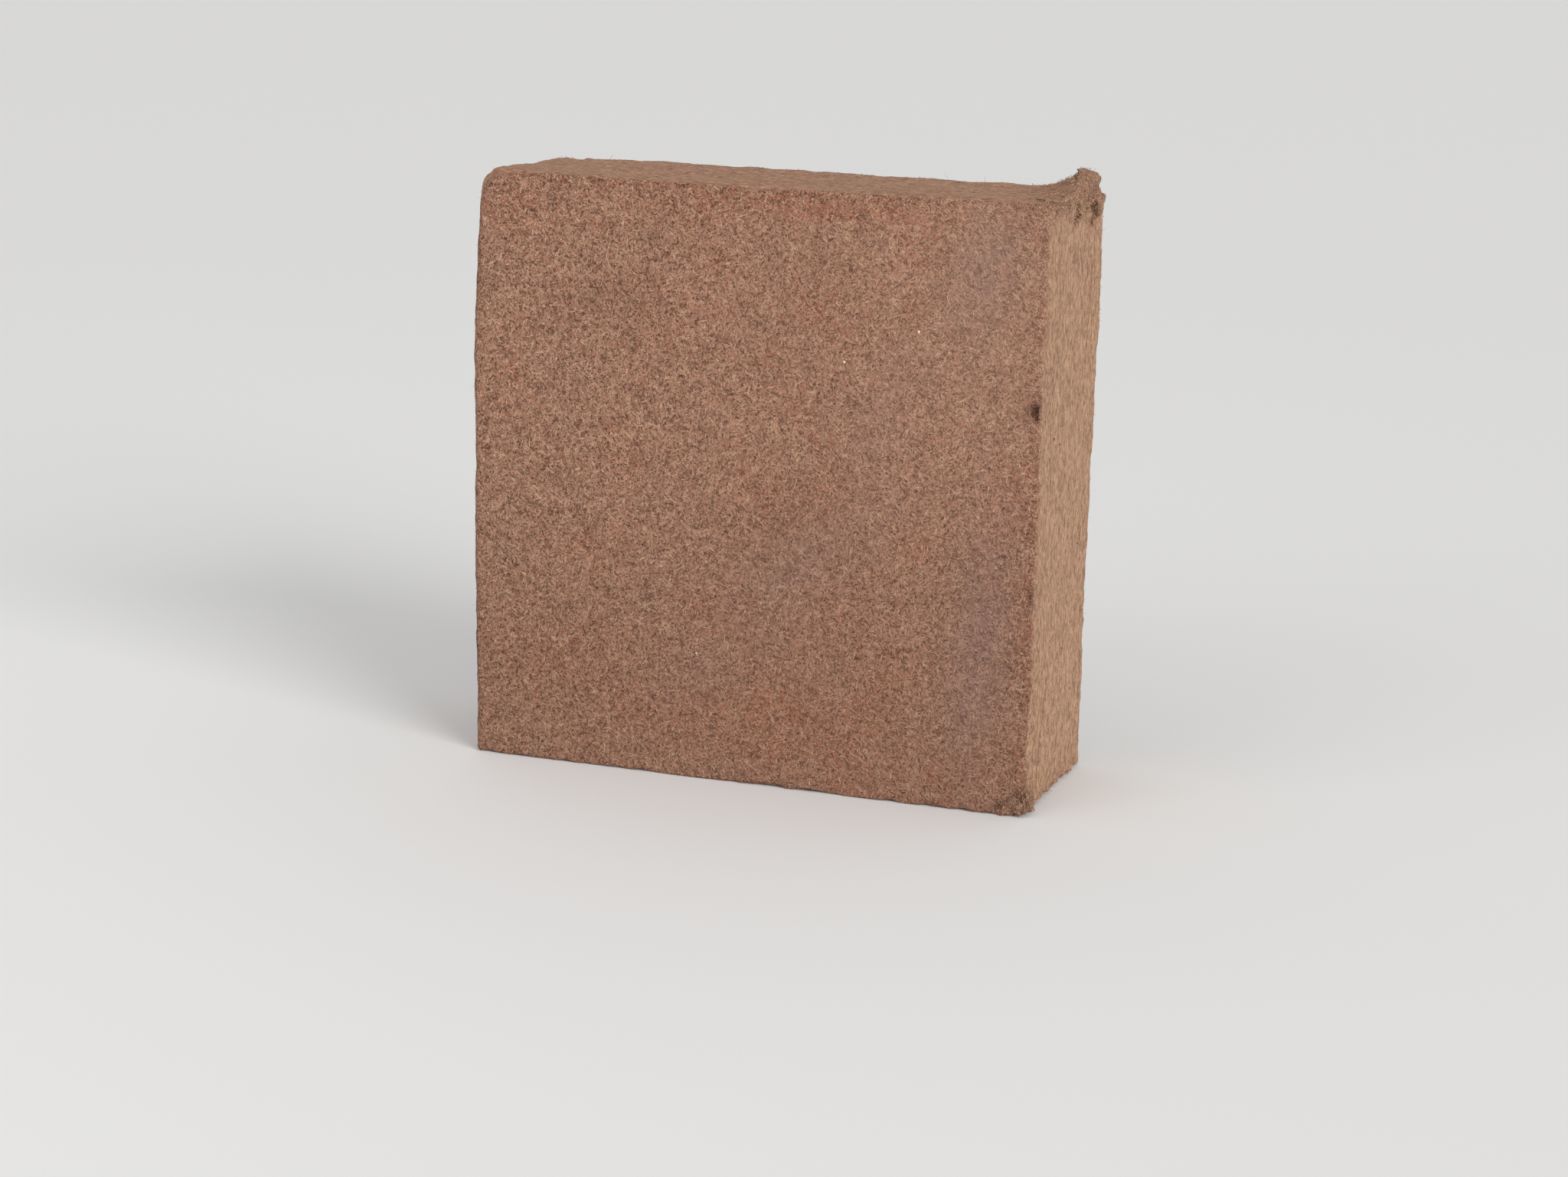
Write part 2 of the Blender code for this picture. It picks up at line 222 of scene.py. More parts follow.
# Zones where the bale is torn open and its fibre lies bare: middle, spread along each axis, and share of it
TORN_ZONES = (
    ((0.1410, 0.0320, 0.3060), (0.0110, 0.0210, 0.0060), 0.50),
    ((0.1470, -0.0220, 0.3050), (0.0050, 0.0220, 0.0042), 0.18),
    ((0.1490, -0.0510, 0.0050), (0.0060, 0.0060, 0.0055), 0.18),
    ((-0.1480, 0.0520, 0.2950), (0.0050, 0.0060, 0.0110), 0.08),
    ((-0.1480, 0.0500, 0.0060), (0.0060, 0.0080, 0.0050), 0.06),
)

# Painted shade in the gaps between the bared fibres: place and reach
SHADED_GAPS = (
    ((0.1510, 0.0370, 0.2985), 0.0062),
    ((0.1510, 0.0020, 0.2990), 0.0060),
    ((0.1512, 0.0190, 0.2965), 0.0036),
    ((0.1440, -0.0350, 0.3065), 0.0058),
    ((0.1370, -0.0300, 0.3068), 0.0034),
    ((0.1500, -0.0480, 0.2990), 0.0034),
    ((0.1490, -0.0530, 0.0080), 0.0050),
    ((0.1400, -0.0555, 0.0040), 0.0040),
    ((-0.1490, 0.0530, 0.2960), 0.0050),
)

# Usual and greatest length of the short fibres that lie in the faces
FLECK_LENGTH, LONGEST_FLECK = 0.0011, 0.0075

# Heights above the ground that the middle lines of the loose fibres keep, so that none goes below it
LOWEST_FRINGE, LOWEST_TORN = 0.00012, 0.00020

# Hairs that stand free of the bale: start, end and sag
FREE_HAIRS = (
    ((0.1410, 0.0480, 0.3120), (0.1480, 0.0500, 0.3172), -0.0008),
    ((0.1455, -0.0540, 0.0040), (0.1492, -0.0610, 0.0075), 0.0010),
    ((0.1430, -0.0545, 0.0055), (0.1415, -0.0605, 0.0022), -0.0012),
    ((0.1495, -0.0500, 0.0060), (0.1560, -0.0530, 0.0046), -0.0010),
    ((-0.1240, 0.0530, 0.3050), (-0.1215, 0.0560, 0.3095), 0.0010),
)


class CoirShape(bpy.types.PropertyGroup):
    """Sizes of the slab."""

    width: bpy.props.FloatProperty(
        name="Width", description="Across the big faces", default=0.3025, unit="LENGTH"
    )
    thickness: bpy.props.FloatProperty(
        name="Thickness", description="Along the pressing direction", default=0.111, unit="LENGTH"
    )
    height: bpy.props.FloatProperty(
        name="Height", description="From the ground to the top, without the lip", default=0.307, unit="LENGTH"
    )
    left_bow: bpy.props.FloatProperty(
        name="Left bow", description="How far the left side swells out", default=0.0028, unit="LENGTH"
    )
    top_fall: bpy.props.FloatProperty(
        name="Top fall", description="How much the top drops to the right", default=0.0010, unit="LENGTH"
    )
    face_crown: bpy.props.FloatProperty(
        name="Face crown", description="Spring-back of the big faces", default=0.0010, unit="LENGTH"
    )
    lip_front: bpy.props.FloatProperty(
        name="Lip in front", description="Height of the lip at the front", default=0.0012, unit="LENGTH"
    )
    lip_back: bpy.props.FloatProperty(
        name="Lip at the back", description="Height of the lip at the back", default=0.0090, unit="LENGTH"
    )
    crumble: bpy.props.FloatProperty(
        name="Crumble", description="Most that an edge has crumbled away", default=0.0036, unit="LENGTH"
    )
    grid_step: bpy.props.FloatProperty(
        name="Grid step", description="Distance of the grid lines, mid-face", default=0.0026, unit="LENGTH"
    )


class CoirCover(bpy.types.PropertyGroup):
    """How many fibres, crumbs and hairs lie on the slab."""

    flecks_front: bpy.props.IntProperty(
        name="Flecks, front", description="Bent fibres on the front, before thinning", default=14000
    )
    fines_front: bpy.props.IntProperty(
        name="Fines, front", description="Small fibres on the front, before thinning", default=26000
    )
    flecks_back: bpy.props.IntProperty(
        name="Flecks, back", description="Bent fibres on the back, before thinning", default=10000
    )
    fines_back: bpy.props.IntProperty(
        name="Fines, back", description="Small fibres on the back, before thinning", default=14500
    )
    flecks_narrow: bpy.props.IntProperty(
        name="Flecks, narrow sides", description="Bent fibres on the narrow sides together", default=7400
    )
    crumbs: bpy.props.IntProperty(name="Crumbs", description="Crumbs along the edges", default=2800)
    fringe: bpy.props.IntProperty(name="Fringe", description="Fibres that leave the edges", default=2400)
    torn: bpy.props.IntProperty(name="Torn fibre", description="Fibres in the torn zones", default=2200)
    fuzz: bpy.props.IntProperty(name="Fuzz", description="Fibre ends that stand off the faces", default=2400)
    hairs: bpy.props.IntProperty(name="Hairs", description="Loose curls on the big faces", default=300)


class CoirColours(bpy.types.PropertyGroup):
    """Colours of the coir, as linear values."""

    brown: bpy.props.FloatVectorProperty(
        name="Brown", description="Pith of the big faces", subtype="COLOR", default=(0.356, 0.171, 0.113)
    )
    tan: bpy.props.FloatVectorProperty(
        name="Tan", description="Mould-rubbed narrow sides", subtype="COLOR", default=(0.392, 0.234, 0.146)
    )
    pale: bpy.props.FloatVectorProperty(
        name="Pale", description="Pale fibre", subtype="COLOR", default=(0.620, 0.388, 0.268)
    )
    straw: bpy.props.FloatVectorProperty(
        name="Straw", description="Bleached curls and specks", subtype="COLOR", default=(0.800, 0.690, 0.520)
    )
    # The dark colour serves both the dark pith and the painted shade in the pits, fissures and gaps
    dark: bpy.props.FloatVectorProperty(
        name="Dark", description="Dark pith and deep gaps", subtype="COLOR", default=(0.085, 0.036, 0.022)
    )
    ruddy: bpy.props.FloatVectorProperty(
        name="Ruddy", description="Reddish patches", subtype="COLOR", default=(0.338, 0.128, 0.076)
    )
    # Mauve: the grey-mauve of the burnished patches, painted sheen over their smoother surface
    mauve: bpy.props.FloatVectorProperty(
        name="Mauve", description="Burnished patches", subtype="COLOR", default=(0.262, 0.146, 0.123)
    )


def smooth_step(value):
    """0 below 0, 1 above 1, and an even S between."""
    share = np.clip(value, 0.0, 1.0)
    return share * share * (3 - 2 * share)


def corner_value(cell, seed):
    """A fixed number from -1 to 1 for each whole-number corner of a lattice."""
    i = cell.astype(np.int64)
    mixed = (i[:, 0] * 73856093) ^ (i[:, 1] * 19349663) ^ (i[:, 2] * 83492791) ^ (seed * 2654435761)
    mixed = ((mixed ^ (mixed >> 13)) * 1274126177) & 0xFFFFFFFF
    mixed = mixed ^ (mixed >> 15)
    return (mixed & 0xFFFF) / 32767.5 - 1.0


def unevenness(points, cell_size, seed):
    """Smooth random field from -1 to 1 whose humps are about cell_size across: lattice values, blended."""
    place = points / cell_size
    low = np.floor(place)
    share = smooth_step(place - low)
    total = np.zeros(len(points))
    for corner in np.ndindex(2, 2, 2):
        weight = np.prod(np.where(np.array(corner) == 1, share, 1 - share), axis=1)
        total += weight * corner_value(low + corner, seed)
    return total


def half_size(shape):
    """Half of the sharp slab's width, thickness and height."""
    return np.array([shape.width / 2, shape.thickness / 2, shape.height / 2])


def edge_distance(points, faces, half):
    """Distance of points of the sharp slab to the edge where two of its faces meet."""
    gaps = [half[AXES[axis]] - side * points[:, AXES[axis]] for axis, side in faces]
    return np.hypot(*gaps)


def rounding(points, half):
    """The edge radius at each point: the mean of the twelve edges' radii, weighted by nearness, and near
    a round corner the corner's own."""
    total = np.zeros(len(points))
    weights = np.zeros(len(points))
    for first, second, radius, _ in EDGES.values():
        near = np.exp(-edge_distance(points, (first, second), half) / EDGE_BLEND)
        total += near * radius
        weights += near
    mean = total / weights
    for place, radius in ROUND_CORNERS:
        centred = np.array(place) - (0, 0, half[2])
        near = np.exp(-((np.linalg.norm(points - centred, axis=1) / CORNER_BLEND) ** 2))
        mean += (radius - mean) * near
    return mean


def near_worn(points, half, edge_reach):
    """From 0 to 1, how crumbly each point of the sharp slab is: most at the worn edges and corners."""
    worn = np.zeros(len(points))
    for first, second, _, crumbly in EDGES.values():
        near = np.exp(-((edge_distance(points, (first, second), half) / edge_reach) ** 2))
        worn = np.maximum(worn, near * crumbly)
    return worn


def edge_band(points, half):
    """From 0 to 1, how far each point lies in the broken bands of the big faces along their edges."""
    band = np.zeros(len(points))
    reach_share = 1 + 0.55 * unevenness(points, 0.0110, 18) + 0.35 * unevenness(points, 0.0040, 19)
    for name, (reach, strength) in BANDS.items():
        first, second, _, _ = EDGES[name]
        gap = edge_distance(points, (first, second), half)
        near = np.exp(-((gap / (reach * reach_share)) ** 2))
        band = np.maximum(band, near * strength)
    return band


def crumbliness(points, half, shape):
    """How much can crumble away, in metres, at each point of the sharp slab."""
    depth = near_worn(points, half, CRUMBLE_REACH) * shape.crumble
    for place, reach, worn in WORN_CORNERS:
        centred = np.array(place) - (0, 0, half[2])
        near = np.exp(-((np.linalg.norm(points - centred, axis=1) / reach) ** 2))
        depth = np.maximum(depth, near * worn)
    return depth


def outward(points, radius, half):
    """Outward directions of the slab rounded by that radius, and the centres that they start from."""
    reach = half - np.reshape(radius, (-1, 1))
    inner = np.clip(points, -reach, reach)
    away = points - inner
    return away / np.linalg.norm(away, axis=1, keepdims=True), inner


def coarse_relief(points, placed, direction, half, shape):
    """How far the faces stand out: the crown of the big faces, slow waves and lumps."""
    across, _, up = (points / half).T
    crown = shape.face_crown * np.abs(direction[:, 1]) * (1 - across**2) * (1 - up**2)
    waves = WAVE_DEPTH * unevenness(placed, WAVE_CELL, 1)
    return crown + waves + LUMP_DEPTH * unevenness(placed, LUMP_CELL, 2)


def fine_relief(points, placed, direction, half):
    """The pressed felt of the big faces, the layers of the narrow sides, the dents of the broken bands and
    the roughness near worn edges."""
    big = direction[:, 1] ** 2
    dents = 0.00030 * edge_band(points, half) * unevenness(placed, 0.0052, 20)
    felt = 0.00020 * unevenness(placed, 0.0052, 6) + 0.00016 * unevenness(placed, 0.0027, 7)
    along_layers = placed * (0.09, 1.0, 0.09)
    layers = 0.00016 * unevenness(along_layers, 0.0026, 8) + 0.00010 * unevenness(placed, 0.0060, 9)
    rough = 0.00055 * unevenness(placed, 0.0033, 10) + 0.00030 * unevenness(placed, 0.0017, 11)
    return big * (felt + dents) + (1 - big) * layers + near_worn(points, half, WEAR_REACH) * rough


def crumbled_away(points, placed, half, shape):
    """How much is gone at each point: what can crumble, times a field that is either near 0 or near 1."""
    coarse = unevenness(placed, CRUMBLE_CELL, 3)
    fine = unevenness(placed, CRUMBLE_CELL / 2, 5)
    return crumbliness(points, half, shape) * smooth_step(0.45 + 0.80 * coarse + 0.40 * fine)


def torn_lip(placed, back_share, half, shape):
    """How the lip is raised over the top: a ramp, then a wall with a tip and a ragged ridge along the right
    side, low and narrow at the front, high and broad at the back; the wall leans inwards."""
    inset = half[0] - placed[:, 0]
    wall = LIP_WALL_FRONT + (LIP_WALL_BACK - LIP_WALL_FRONT) * back_share
    wall = wall + 0.0018 * unevenness(placed, 0.0085, 14)
    ramp = np.clip((LIP_RAMP_START - inset) / LIP_RAMP_RUN, 0, 1) ** 2 * back_share**2
    ridge = smooth_step((wall - inset) / 0.0024)
    fall = smooth_step((inset + 0.0004) / 0.0048) * (0.80 + 0.20 * np.clip(inset / 0.013, 0, 1))
    tip = np.exp(-(((wall - inset - 0.0019) / 0.0013) ** 2) - ((placed[:, 1] - LIP_TIP_PLACE) / 0.0050) ** 2)
    near_top = smooth_step((placed[:, 2] - half[2] + LIP_ROOT) / LIP_ROOT)
    ragged = 1 + 0.20 * unevenness(placed, 0.0060, 4) + 0.10 * unevenness(placed, 0.0028, 15)
    height = shape.lip_front + (shape.lip_back - shape.lip_front) * back_share**1.4
    raised = height * (LIP_RAMP_SHARE * ramp + (1 - LIP_RAMP_SHARE) * ridge * ragged) * fall
    raised = (raised + LIP_TIP_HEIGHT * tip) * near_top
    lean = (LIP_LEAN * raised + LIP_TIP_HEIGHT * tip) * ridge * smooth_step((inset - 0.004) / 0.006)
    return np.stack([-lean, np.zeros_like(lean), raised], axis=1)


def fissure_groove(placed, direction, half):
    """Depth of the fissures: along each wandering line, a groove with a rounded section that tapers to its
    ends and is shallower where a field closes it."""
    groove = np.zeros(len(placed))
    for number, (side, start, end, offset_start, offset_end, width) in enumerate(FISSURES):
        seed = 11 + 3 * number
        on_top = side == "top"
        run = placed[:, 0] if on_top else placed[:, 2] + half[2]
        facing = direction[:, 2] if on_top else direction[:, 0] * (1 if side == "right" else -1)
        share = np.clip((run - start) / (end - start), 0, 1)
        probe = np.stack([run, np.full_like(run, seed), np.zeros_like(run)], axis=1)
        wander = unevenness(probe, 0.022, seed) + 0.4 * unevenness(probe, 0.007, seed + 1)
        line = offset_start + (offset_end - offset_start) * share + FISSURE_WANDER * wander
        line = line + 0.0005 * unevenness(placed, 0.0030, seed + 40)
        whole = smooth_step(0.60 + 0.90 * unevenness(placed, 0.0085, seed + 41))
        taper = np.sqrt(np.sin(math.pi * share)) * (0.50 + 0.50 * whole)
        opening = 0.5 * width * (1 + 0.35 * unevenness(probe, 0.012, seed + 2))
        section = np.exp(-(((placed[:, 1] - line) / np.maximum(opening, 0.0007)) ** 2))
        groove = np.maximum(groove, FISSURE_DEPTH * taper * section * (facing > 0.9))
    return groove


def pit_hollow(placed, half):
    """Depth of the holes that fallen crumbs have left: hollows with uneven soft rims."""
    hollow = np.zeros(len(placed))
    rim = 1 + 0.55 * unevenness(placed, 0.0026, 16)
    for place, radius in PITS:
        centred = np.array(place) - (0, 0, half[2])
        distance = np.linalg.norm(placed - centred, axis=1) * rim
        hollow = np.maximum(hollow, radius * smooth_step(1.35 - distance / radius))
    return hollow


def lump_swell(placed, half):
    """Height of the lumps that the surface has grown: uneven round swellings that sink into it all round."""
    swell = np.zeros(len(placed))
    rim = 1 + 0.45 * unevenness(placed, 0.0030, 17)
    for place, radius in LUMPS:
        centred = np.array(place) - (0, 0, half[2])
        distance = np.linalg.norm(placed - centred, axis=1) * rim
        swell = np.maximum(swell, 0.75 * radius * smooth_step(1.5 - distance / radius))
    return swell


def bale_surface(points, shape):
    """Carries points of the sharp slab, centred on the origin, to the surface of the bale on the ground.

    The edges are rounded, the torn lip rises, the faces get their relief and lumps, the edges crumble
    inwards, fissures and pits are hollowed out, the left side swells and the top falls a little to the
    right. Returns the places, the outward directions, and how much has crumbled or been hollowed out.
    """
    half = half_size(shape)
    across, along, up = (points / half).T
    radius = rounding(points, half)
    direction, inner = outward(points, radius, half)
    placed = inner + radius[:, None] * direction
    placed = placed + torn_lip(placed, smooth_step((along + 1) / 2), half, shape)
    soft_direction, _ = outward(points, SOFT_RADIUS, half)
    off_base = smooth_step((points[:, 2] + half[2]) / BASE_FADE)
    standing_out = coarse_relief(points, placed, direction, half, shape)
    standing_out += fine_relief(points, placed, direction, half)
    lost = crumbled_away(points, placed, half, shape)
    hollow = fissure_groove(placed, direction, half) + pit_hollow(placed, half)
    placed = placed + ((standing_out - hollow) * off_base)[:, None] * direction
    placed = placed + (lump_swell(placed, half) - lost)[:, None] * soft_direction

    height_share = (up + 1) / 2
    low_swelling = 0.6 * np.exp(-(((height_share - LOW_SWELLING) / 0.10) ** 2))
    swell = shape.left_bow * (np.sin(math.pi * height_share**1.6) + low_swelling) * (1 - 0.3 * along**2)
    placed[:, 0] += shape.left_bow / 3 - swell * smooth_step(-across)
    placed[:, 2] -= shape.top_fall * across * height_share
    placed[:, 2] = np.maximum(placed[:, 2] + half[2], 0.0)
    return placed, direction, hollow * off_base + 0.30 * lost


def patch_mask(points, direction, half, front, back):
    """From 0 to 1, how much a patch covers each point: soft turned ovals on the front and the back."""
    mask = np.zeros(len(points))
    for side, patches in ((-1, front), (1, back)):
        facing = smooth_step(side * direction[:, 1] * 2 - 0.6)
        for x, z, length, width, tilt, strength in patches:
            angle = math.radians(tilt)
            dx = points[:, 0] - x
            dz = points[:, 2] + half[2] - z
            along = (dx * math.cos(angle) + dz * math.sin(angle)) / length
            across = (dz * math.cos(angle) - dx * math.sin(angle)) / width
            mask = np.maximum(mask, strength * np.exp(-(along**2) - across**2) * facing)
    return mask


def stations(half_length, step, crowded=()):
    """Places of grid lines from side to side: their density rises towards both ends and around each crowded
    place by its gain over its spread, and a line stands wherever the summed density passes a whole number."""
    place = np.linspace(-half_length, half_length, 6001)
    density = 1 + 4.2 * np.exp(-(half_length - np.abs(place)) / 0.0040)
    for centre, spread, gain in crowded:
        density += gain * np.exp(-(((place - centre) / spread) ** 2))
    steps = (density[1:] + density[:-1]) / 2 * np.diff(place) / step
    summed = np.concatenate([[0.0], np.cumsum(steps)])
    lines = round(summed[-1])
    return np.interp(np.linspace(0, summed[-1], lines + 1), summed, place)


def slab_grid(lines):
    """The sharp slab's six sides as one closed grid: points by their three line numbers, and quads that
    share the points along every edge and face outwards."""
    counts = [len(axis_lines) for axis_lines in lines]
    quads = []
    for axis in range(3):
        u, v = (axis + 1) % 3, (axis + 2) % 3
        grid_u, grid_v = np.meshgrid(np.arange(counts[u]), np.arange(counts[v]), indexing="ij")
        for end in (0, counts[axis] - 1):
            number = np.zeros((3, *grid_u.shape), dtype=np.int64)
            number[axis] = end
            number[u] = grid_u
            number[v] = grid_v
            key = (number[0] * counts[1] + number[1]) * counts[2] + number[2]
            cells = np.stack([key[:-1, :-1], key[1:, :-1], key[1:, 1:], key[:-1, 1:]], axis=-1).reshape(-1, 4)
            quads.append(cells if end else cells[:, ::-1])
    keys, corners = np.unique(np.concatenate(quads), return_inverse=True)
    first, rest = np.divmod(keys, counts[1] * counts[2])
    second, third = np.divmod(rest, counts[2])
    points = np.stack([lines[0][first], lines[1][second], lines[2][third]], axis=1)
    return points, corners.reshape(-1, 4)


def mesh_piece(name, points, faces, material, values):
    """One object whose mesh has these points and faces, all with the same number of corners, and one
    number for each point under each name in values."""
    mesh = bpy.data.meshes.new(name)
    mesh.vertices.add(len(points))
    mesh.vertices.foreach_set("co", np.ascontiguousarray(points, dtype=np.float32).ravel())
    mesh.loops.add(faces.size)
    mesh.loops.foreach_set("vertex_index", np.ascontiguousarray(faces, dtype=np.int32).ravel())
    mesh.polygons.add(len(faces))
    mesh.polygons.foreach_set("loop_start", np.arange(0, faces.size, faces.shape[1], dtype=np.int32))
    mesh.update(calc_edges=True)
    for key, numbers in values.items():
        layer = mesh.attributes.new(key, "FLOAT", "POINT")
        layer.data.foreach_set("value", np.ascontiguousarray(numbers, dtype=np.float32))
    mesh.validate()
    mesh.shade_smooth()
    mesh.materials.append(material)
    piece = bpy.data.objects.new(name, mesh)
    bpy.context.scene.collection.objects.link(piece)
    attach(piece, "root")
    return piece


def strand_faces(count, rings, sides):
    """Triangles of strands that share one plan: a tip, rings of points, and a tip at the other end."""
    around = np.arange(sides)
    following = (around + 1) % sides
    first_ring = 1 + around
    plan = [np.stack([np.zeros(sides, dtype=int), 1 + following, first_ring], axis=1)]
    for ring in range(rings - 1):
        low = 1 + ring * sides
        high = low + sides
        plan.append(np.stack([low + around, low + following, high + around], axis=1))
        plan.append(np.stack([low + following, high + following, high + around], axis=1))
    last = 1 + (rings - 1) * sides
    tip = 1 + rings * sides
    plan.append(np.stack([last + around, last + following, np.full(sides, tip)], axis=1))
    plan = np.concatenate(plan)
    return (plan[None] + (np.arange(count) * (tip + 1))[:, None, None]).reshape(-1, 3)


def strand_points(path, radius, up, sides, flatness):
    """Points of strands along their paths: each ring is an oval around the path, square to it, and the
    first and last places of the path are the bare tips. Path is strands by places by 3."""
    tangent = np.gradient(path, axis=1)
    tangent /= np.linalg.norm(tangent, axis=2, keepdims=True)
    side = np.cross(tangent, up)
    side /= np.maximum(np.linalg.norm(side, axis=2, keepdims=True), 1e-9)
    over = np.cross(side, tangent)
    angle = 2 * math.pi * np.arange(sides) / sides
    ring = (
        side[:, 1:-1, None] * np.cos(angle)[None, None, :, None]
        + flatness * over[:, 1:-1, None] * np.sin(angle)[None, None, :, None]
    )
    rings = path[:, 1:-1, None] + ring * radius[:, 1:-1, None, None]
    count = len(path)
    return np.concatenate([path[:, :1], rings.reshape(count, -1, 3), path[:, -1:]], axis=1).reshape(-1, 3)


def bent_run(start, heading, length, bend, places):
    """Flat arcs: places along each arc that leaves its start at its heading and turns by bend in all."""
    share = np.linspace(0, 1, places)
    turn = heading[:, None] + bend[:, None] * (share[None] - 0.5)
    step = length[:, None] / (places - 1)
    middle = (turn[:, 1:] + turn[:, :-1]) / 2
    first = np.concatenate([np.zeros((len(start), 1)), np.cumsum(np.cos(middle) * step, axis=1)], axis=1)
    second = np.concatenate([np.zeros((len(start), 1)), np.cumsum(np.sin(middle) * step, axis=1)], axis=1)
    return np.stack([start[:, 0, None] + first, start[:, 1, None] + second], axis=2)


def on_side(flat, axis, side, half):
    """Places given by two coordinates on one side of the sharp slab, as points: y and z on the left and
    right, x and z on the front and back, x and y on the top and underside."""
    others = [i for i in range(3) if i != axis]
    points = np.empty((*flat.shape[:-1], 3))
    points[..., axis] = side * half[axis]
    points[..., others[0]] = np.clip(flat[..., 0], -half[others[0]], half[others[0]])
    points[..., others[1]] = np.clip(flat[..., 1], -half[others[1]], half[others[1]])
    return points


def lying_strands(flat, axis, side, lift, shape):
    """Carries flat paths on one side of the slab to the bale's surface, each place raised by its lift."""
    count, places, _ = flat.shape
    points = on_side(flat, axis, side, half_size(shape)).reshape(-1, 3)
    placed, direction, _ = bale_surface(points, shape)
    raised = placed + lift.reshape(-1, 1) * direction
    return raised.reshape(count, places, 3), direction.reshape(count, places, 3)


def sizes_about(rng, count, middle, shift, spread, largest):
    """Random sizes about a middle one, up to the largest: the middle times e to a normal number."""
    return np.minimum(middle * np.exp(rng.normal(shift, spread, count)), largest)


def tints_about(rng, count, middle, spread):
    """Random tints about a middle one, from 0 to 1."""
    return np.clip(rng.normal(middle, spread, count), 0, 1)


def scattered(rng, count, half_first, half_second, margin):
    """Evenly scattered places on a side, as far as the margin from its edges."""
    first = rng.uniform(-half_first + margin, half_first - margin, count)
    second = rng.uniform(-half_second + margin, half_second - margin, count)
    return np.stack([first, second], axis=1)


class Value:
    """A shader socket that takes part in sums and products: each operator adds its Math node."""

    def __init__(self, graph, socket):
        self.graph = graph
        self.socket = socket

    def math(self, operation, *others):
        """A Math node of that operation on this value and the others."""
        inputs = dict(enumerate([self, *others]))
        return self.graph.node("ShaderNodeMath", {"operation": operation}, inputs)

    def __add__(self, other):
        return self.math("ADD", other)

    def __sub__(self, other):
        return self.math("SUBTRACT", other)

    def __mul__(self, other):
        return self.math("MULTIPLY", other)

    def __rsub__(self, other):
        return self.graph.node("ShaderNodeMath", {"operation": "SUBTRACT"}, {0: other, 1: self})

    __radd__ = __add__
    __rmul__ = __mul__

    def step(self, low, high):
        """0 below low, 1 above high, and an even S between."""
        settings = {"interpolation_type": "SMOOTHSTEP"}
        inputs = {"Value": self, "From Min": low, "From Max": high}
        return self.graph.node("ShaderNodeMapRange", settings, inputs)


